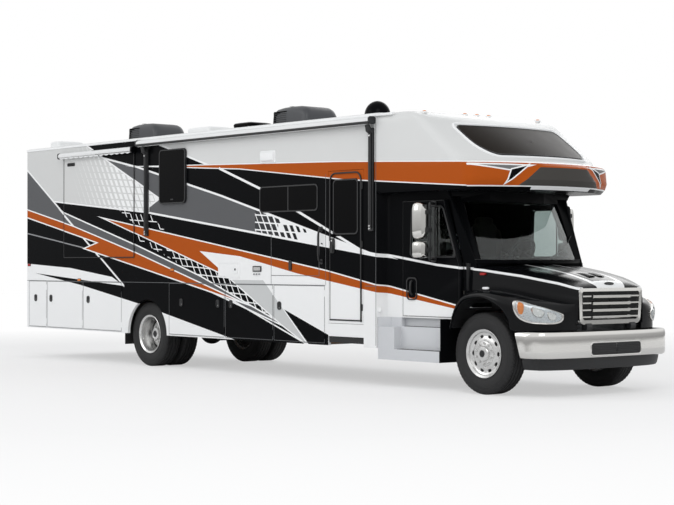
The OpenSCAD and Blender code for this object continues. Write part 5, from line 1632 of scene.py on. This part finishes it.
def studio():
    """A pale floor that fades out, a bright surround for the eye, metal and glass, and three soft lamps."""
    size = 60.0
    _, tree = staged("floor", [(-size, -size, 0), (size, -size, 0), (size, size, 0), (-size, size, 0)],
                     [(0, 1, 2, 3)])
    shader = tree.nodes["Principled BSDF"]
    shader.inputs["Base Color"].default_value = (0.9, 0.9, 0.9, 1)
    shader.inputs["Roughness"].default_value = 0.9
    shader.inputs["Specular IOR Level"].default_value = 0.0
    place = node(tree, "TexCoord").outputs["Object"]
    far = node(tree, "VectorMath", {0: place}, operation="LENGTH").outputs["Value"]
    tree.links.new(ramp(tree, far, 9.0, 16.0, 1.0, 0.0), shader.inputs["Alpha"])
    paler = sums(tree, "MULTIPLY", node(tree, "LightPath").outputs["Is Camera Ray"], 0.5)
    glow = node(tree, "Emission", {"Strength": 1.0})
    both = node(tree, "MixShader", {0: paler, 1: shader.outputs[0], 2: glow.outputs[0]})
    tree.links.new(both.outputs[0], tree.nodes["Material Output"].inputs["Surface"])

    turn = around(96)
    ring = 24 * np.stack([np.cos(turn), np.sin(turn)], 1)
    wall = np.vstack([at(ring, -0.2, 2), at(ring, 9.0, 2)]).tolist()
    horizon, tree = staged("horizon", wall, cells(2, 96, False, True))
    for kind in ("camera", "diffuse", "transmission", "volume_scatter", "shadow"):
        setattr(horizon, "visible_" + kind, False)
    tree.nodes.clear()
    level = node(tree, "SeparateXYZ", {0: node(tree, "TexCoord").outputs["Object"]}).outputs["Z"]
    glow = node(tree, "Emission", {"Strength": ramp(tree, level, 0.0, 7.0, 0.35, 1.0)})
    node(tree, "OutputMaterial", {0: glow.outputs[0]})

    world = bpy.data.worlds.new("surround")
    world.use_nodes = True
    bpy.context.scene.world = world
    tree = world.node_tree
    tree.nodes.clear()
    path = node(tree, "LightPath").outputs
    seen = sums(tree, "MAXIMUM", path["Is Camera Ray"], path["Is Glossy Ray"], path["Is Transmission Ray"])
    plain = node(tree, "Background", {"Color": (0.97, 0.98, 1.0, 1), "Strength": 0.62})
    white = node(tree, "Background", {"Color": (1, 1, 1, 1), "Strength": 1.0})
    both = node(tree, "MixShader", {0: seen, 1: plain.outputs[0], 2: white.outputs[0]})
    node(tree, "OutputWorld", {0: both.outputs[0]})

    for name, place, energy in (("key", (14, -10, 13), 900), ("fill", (-6, -14, 9), 500),
                                ("back", (-4, 12, 10), 400)):
        lamp = bpy.data.lights.new(name, "AREA")
        lamp.energy, lamp.size = energy, 9
        aimed(name, lamp, place, Vector((0, 0, 1.5)) - Vector(place))


def aimed(name, data, place, look):
    """A lamp or camera at a place, looking along a direction."""
    made = bpy.data.objects.new(name, data)
    made.location = place
    made.rotation_euler = look.to_track_quat("-Z", "Y").to_euler()
    bpy.context.scene.collection.objects.link(made)
    return made


def eye():
    """The camera low beyond the right front corner, level but for a slight rise."""
    camera = bpy.data.cameras.new("eye")
    camera.lens, camera.sensor_width = 87.46, 36.0
    camera.clip_end = 200.0
    turn, rise = math.radians(39.96), 0.0062
    look = Vector((-math.cos(turn) * math.cos(rise), math.sin(turn) * math.cos(rise), math.sin(rise)))
    bpy.context.scene.camera = aimed("eye", camera, (19.027, -15.3095, 1.608), look)


studio()
eye()
bpy.context.scene.view_settings.view_transform = "Standard"
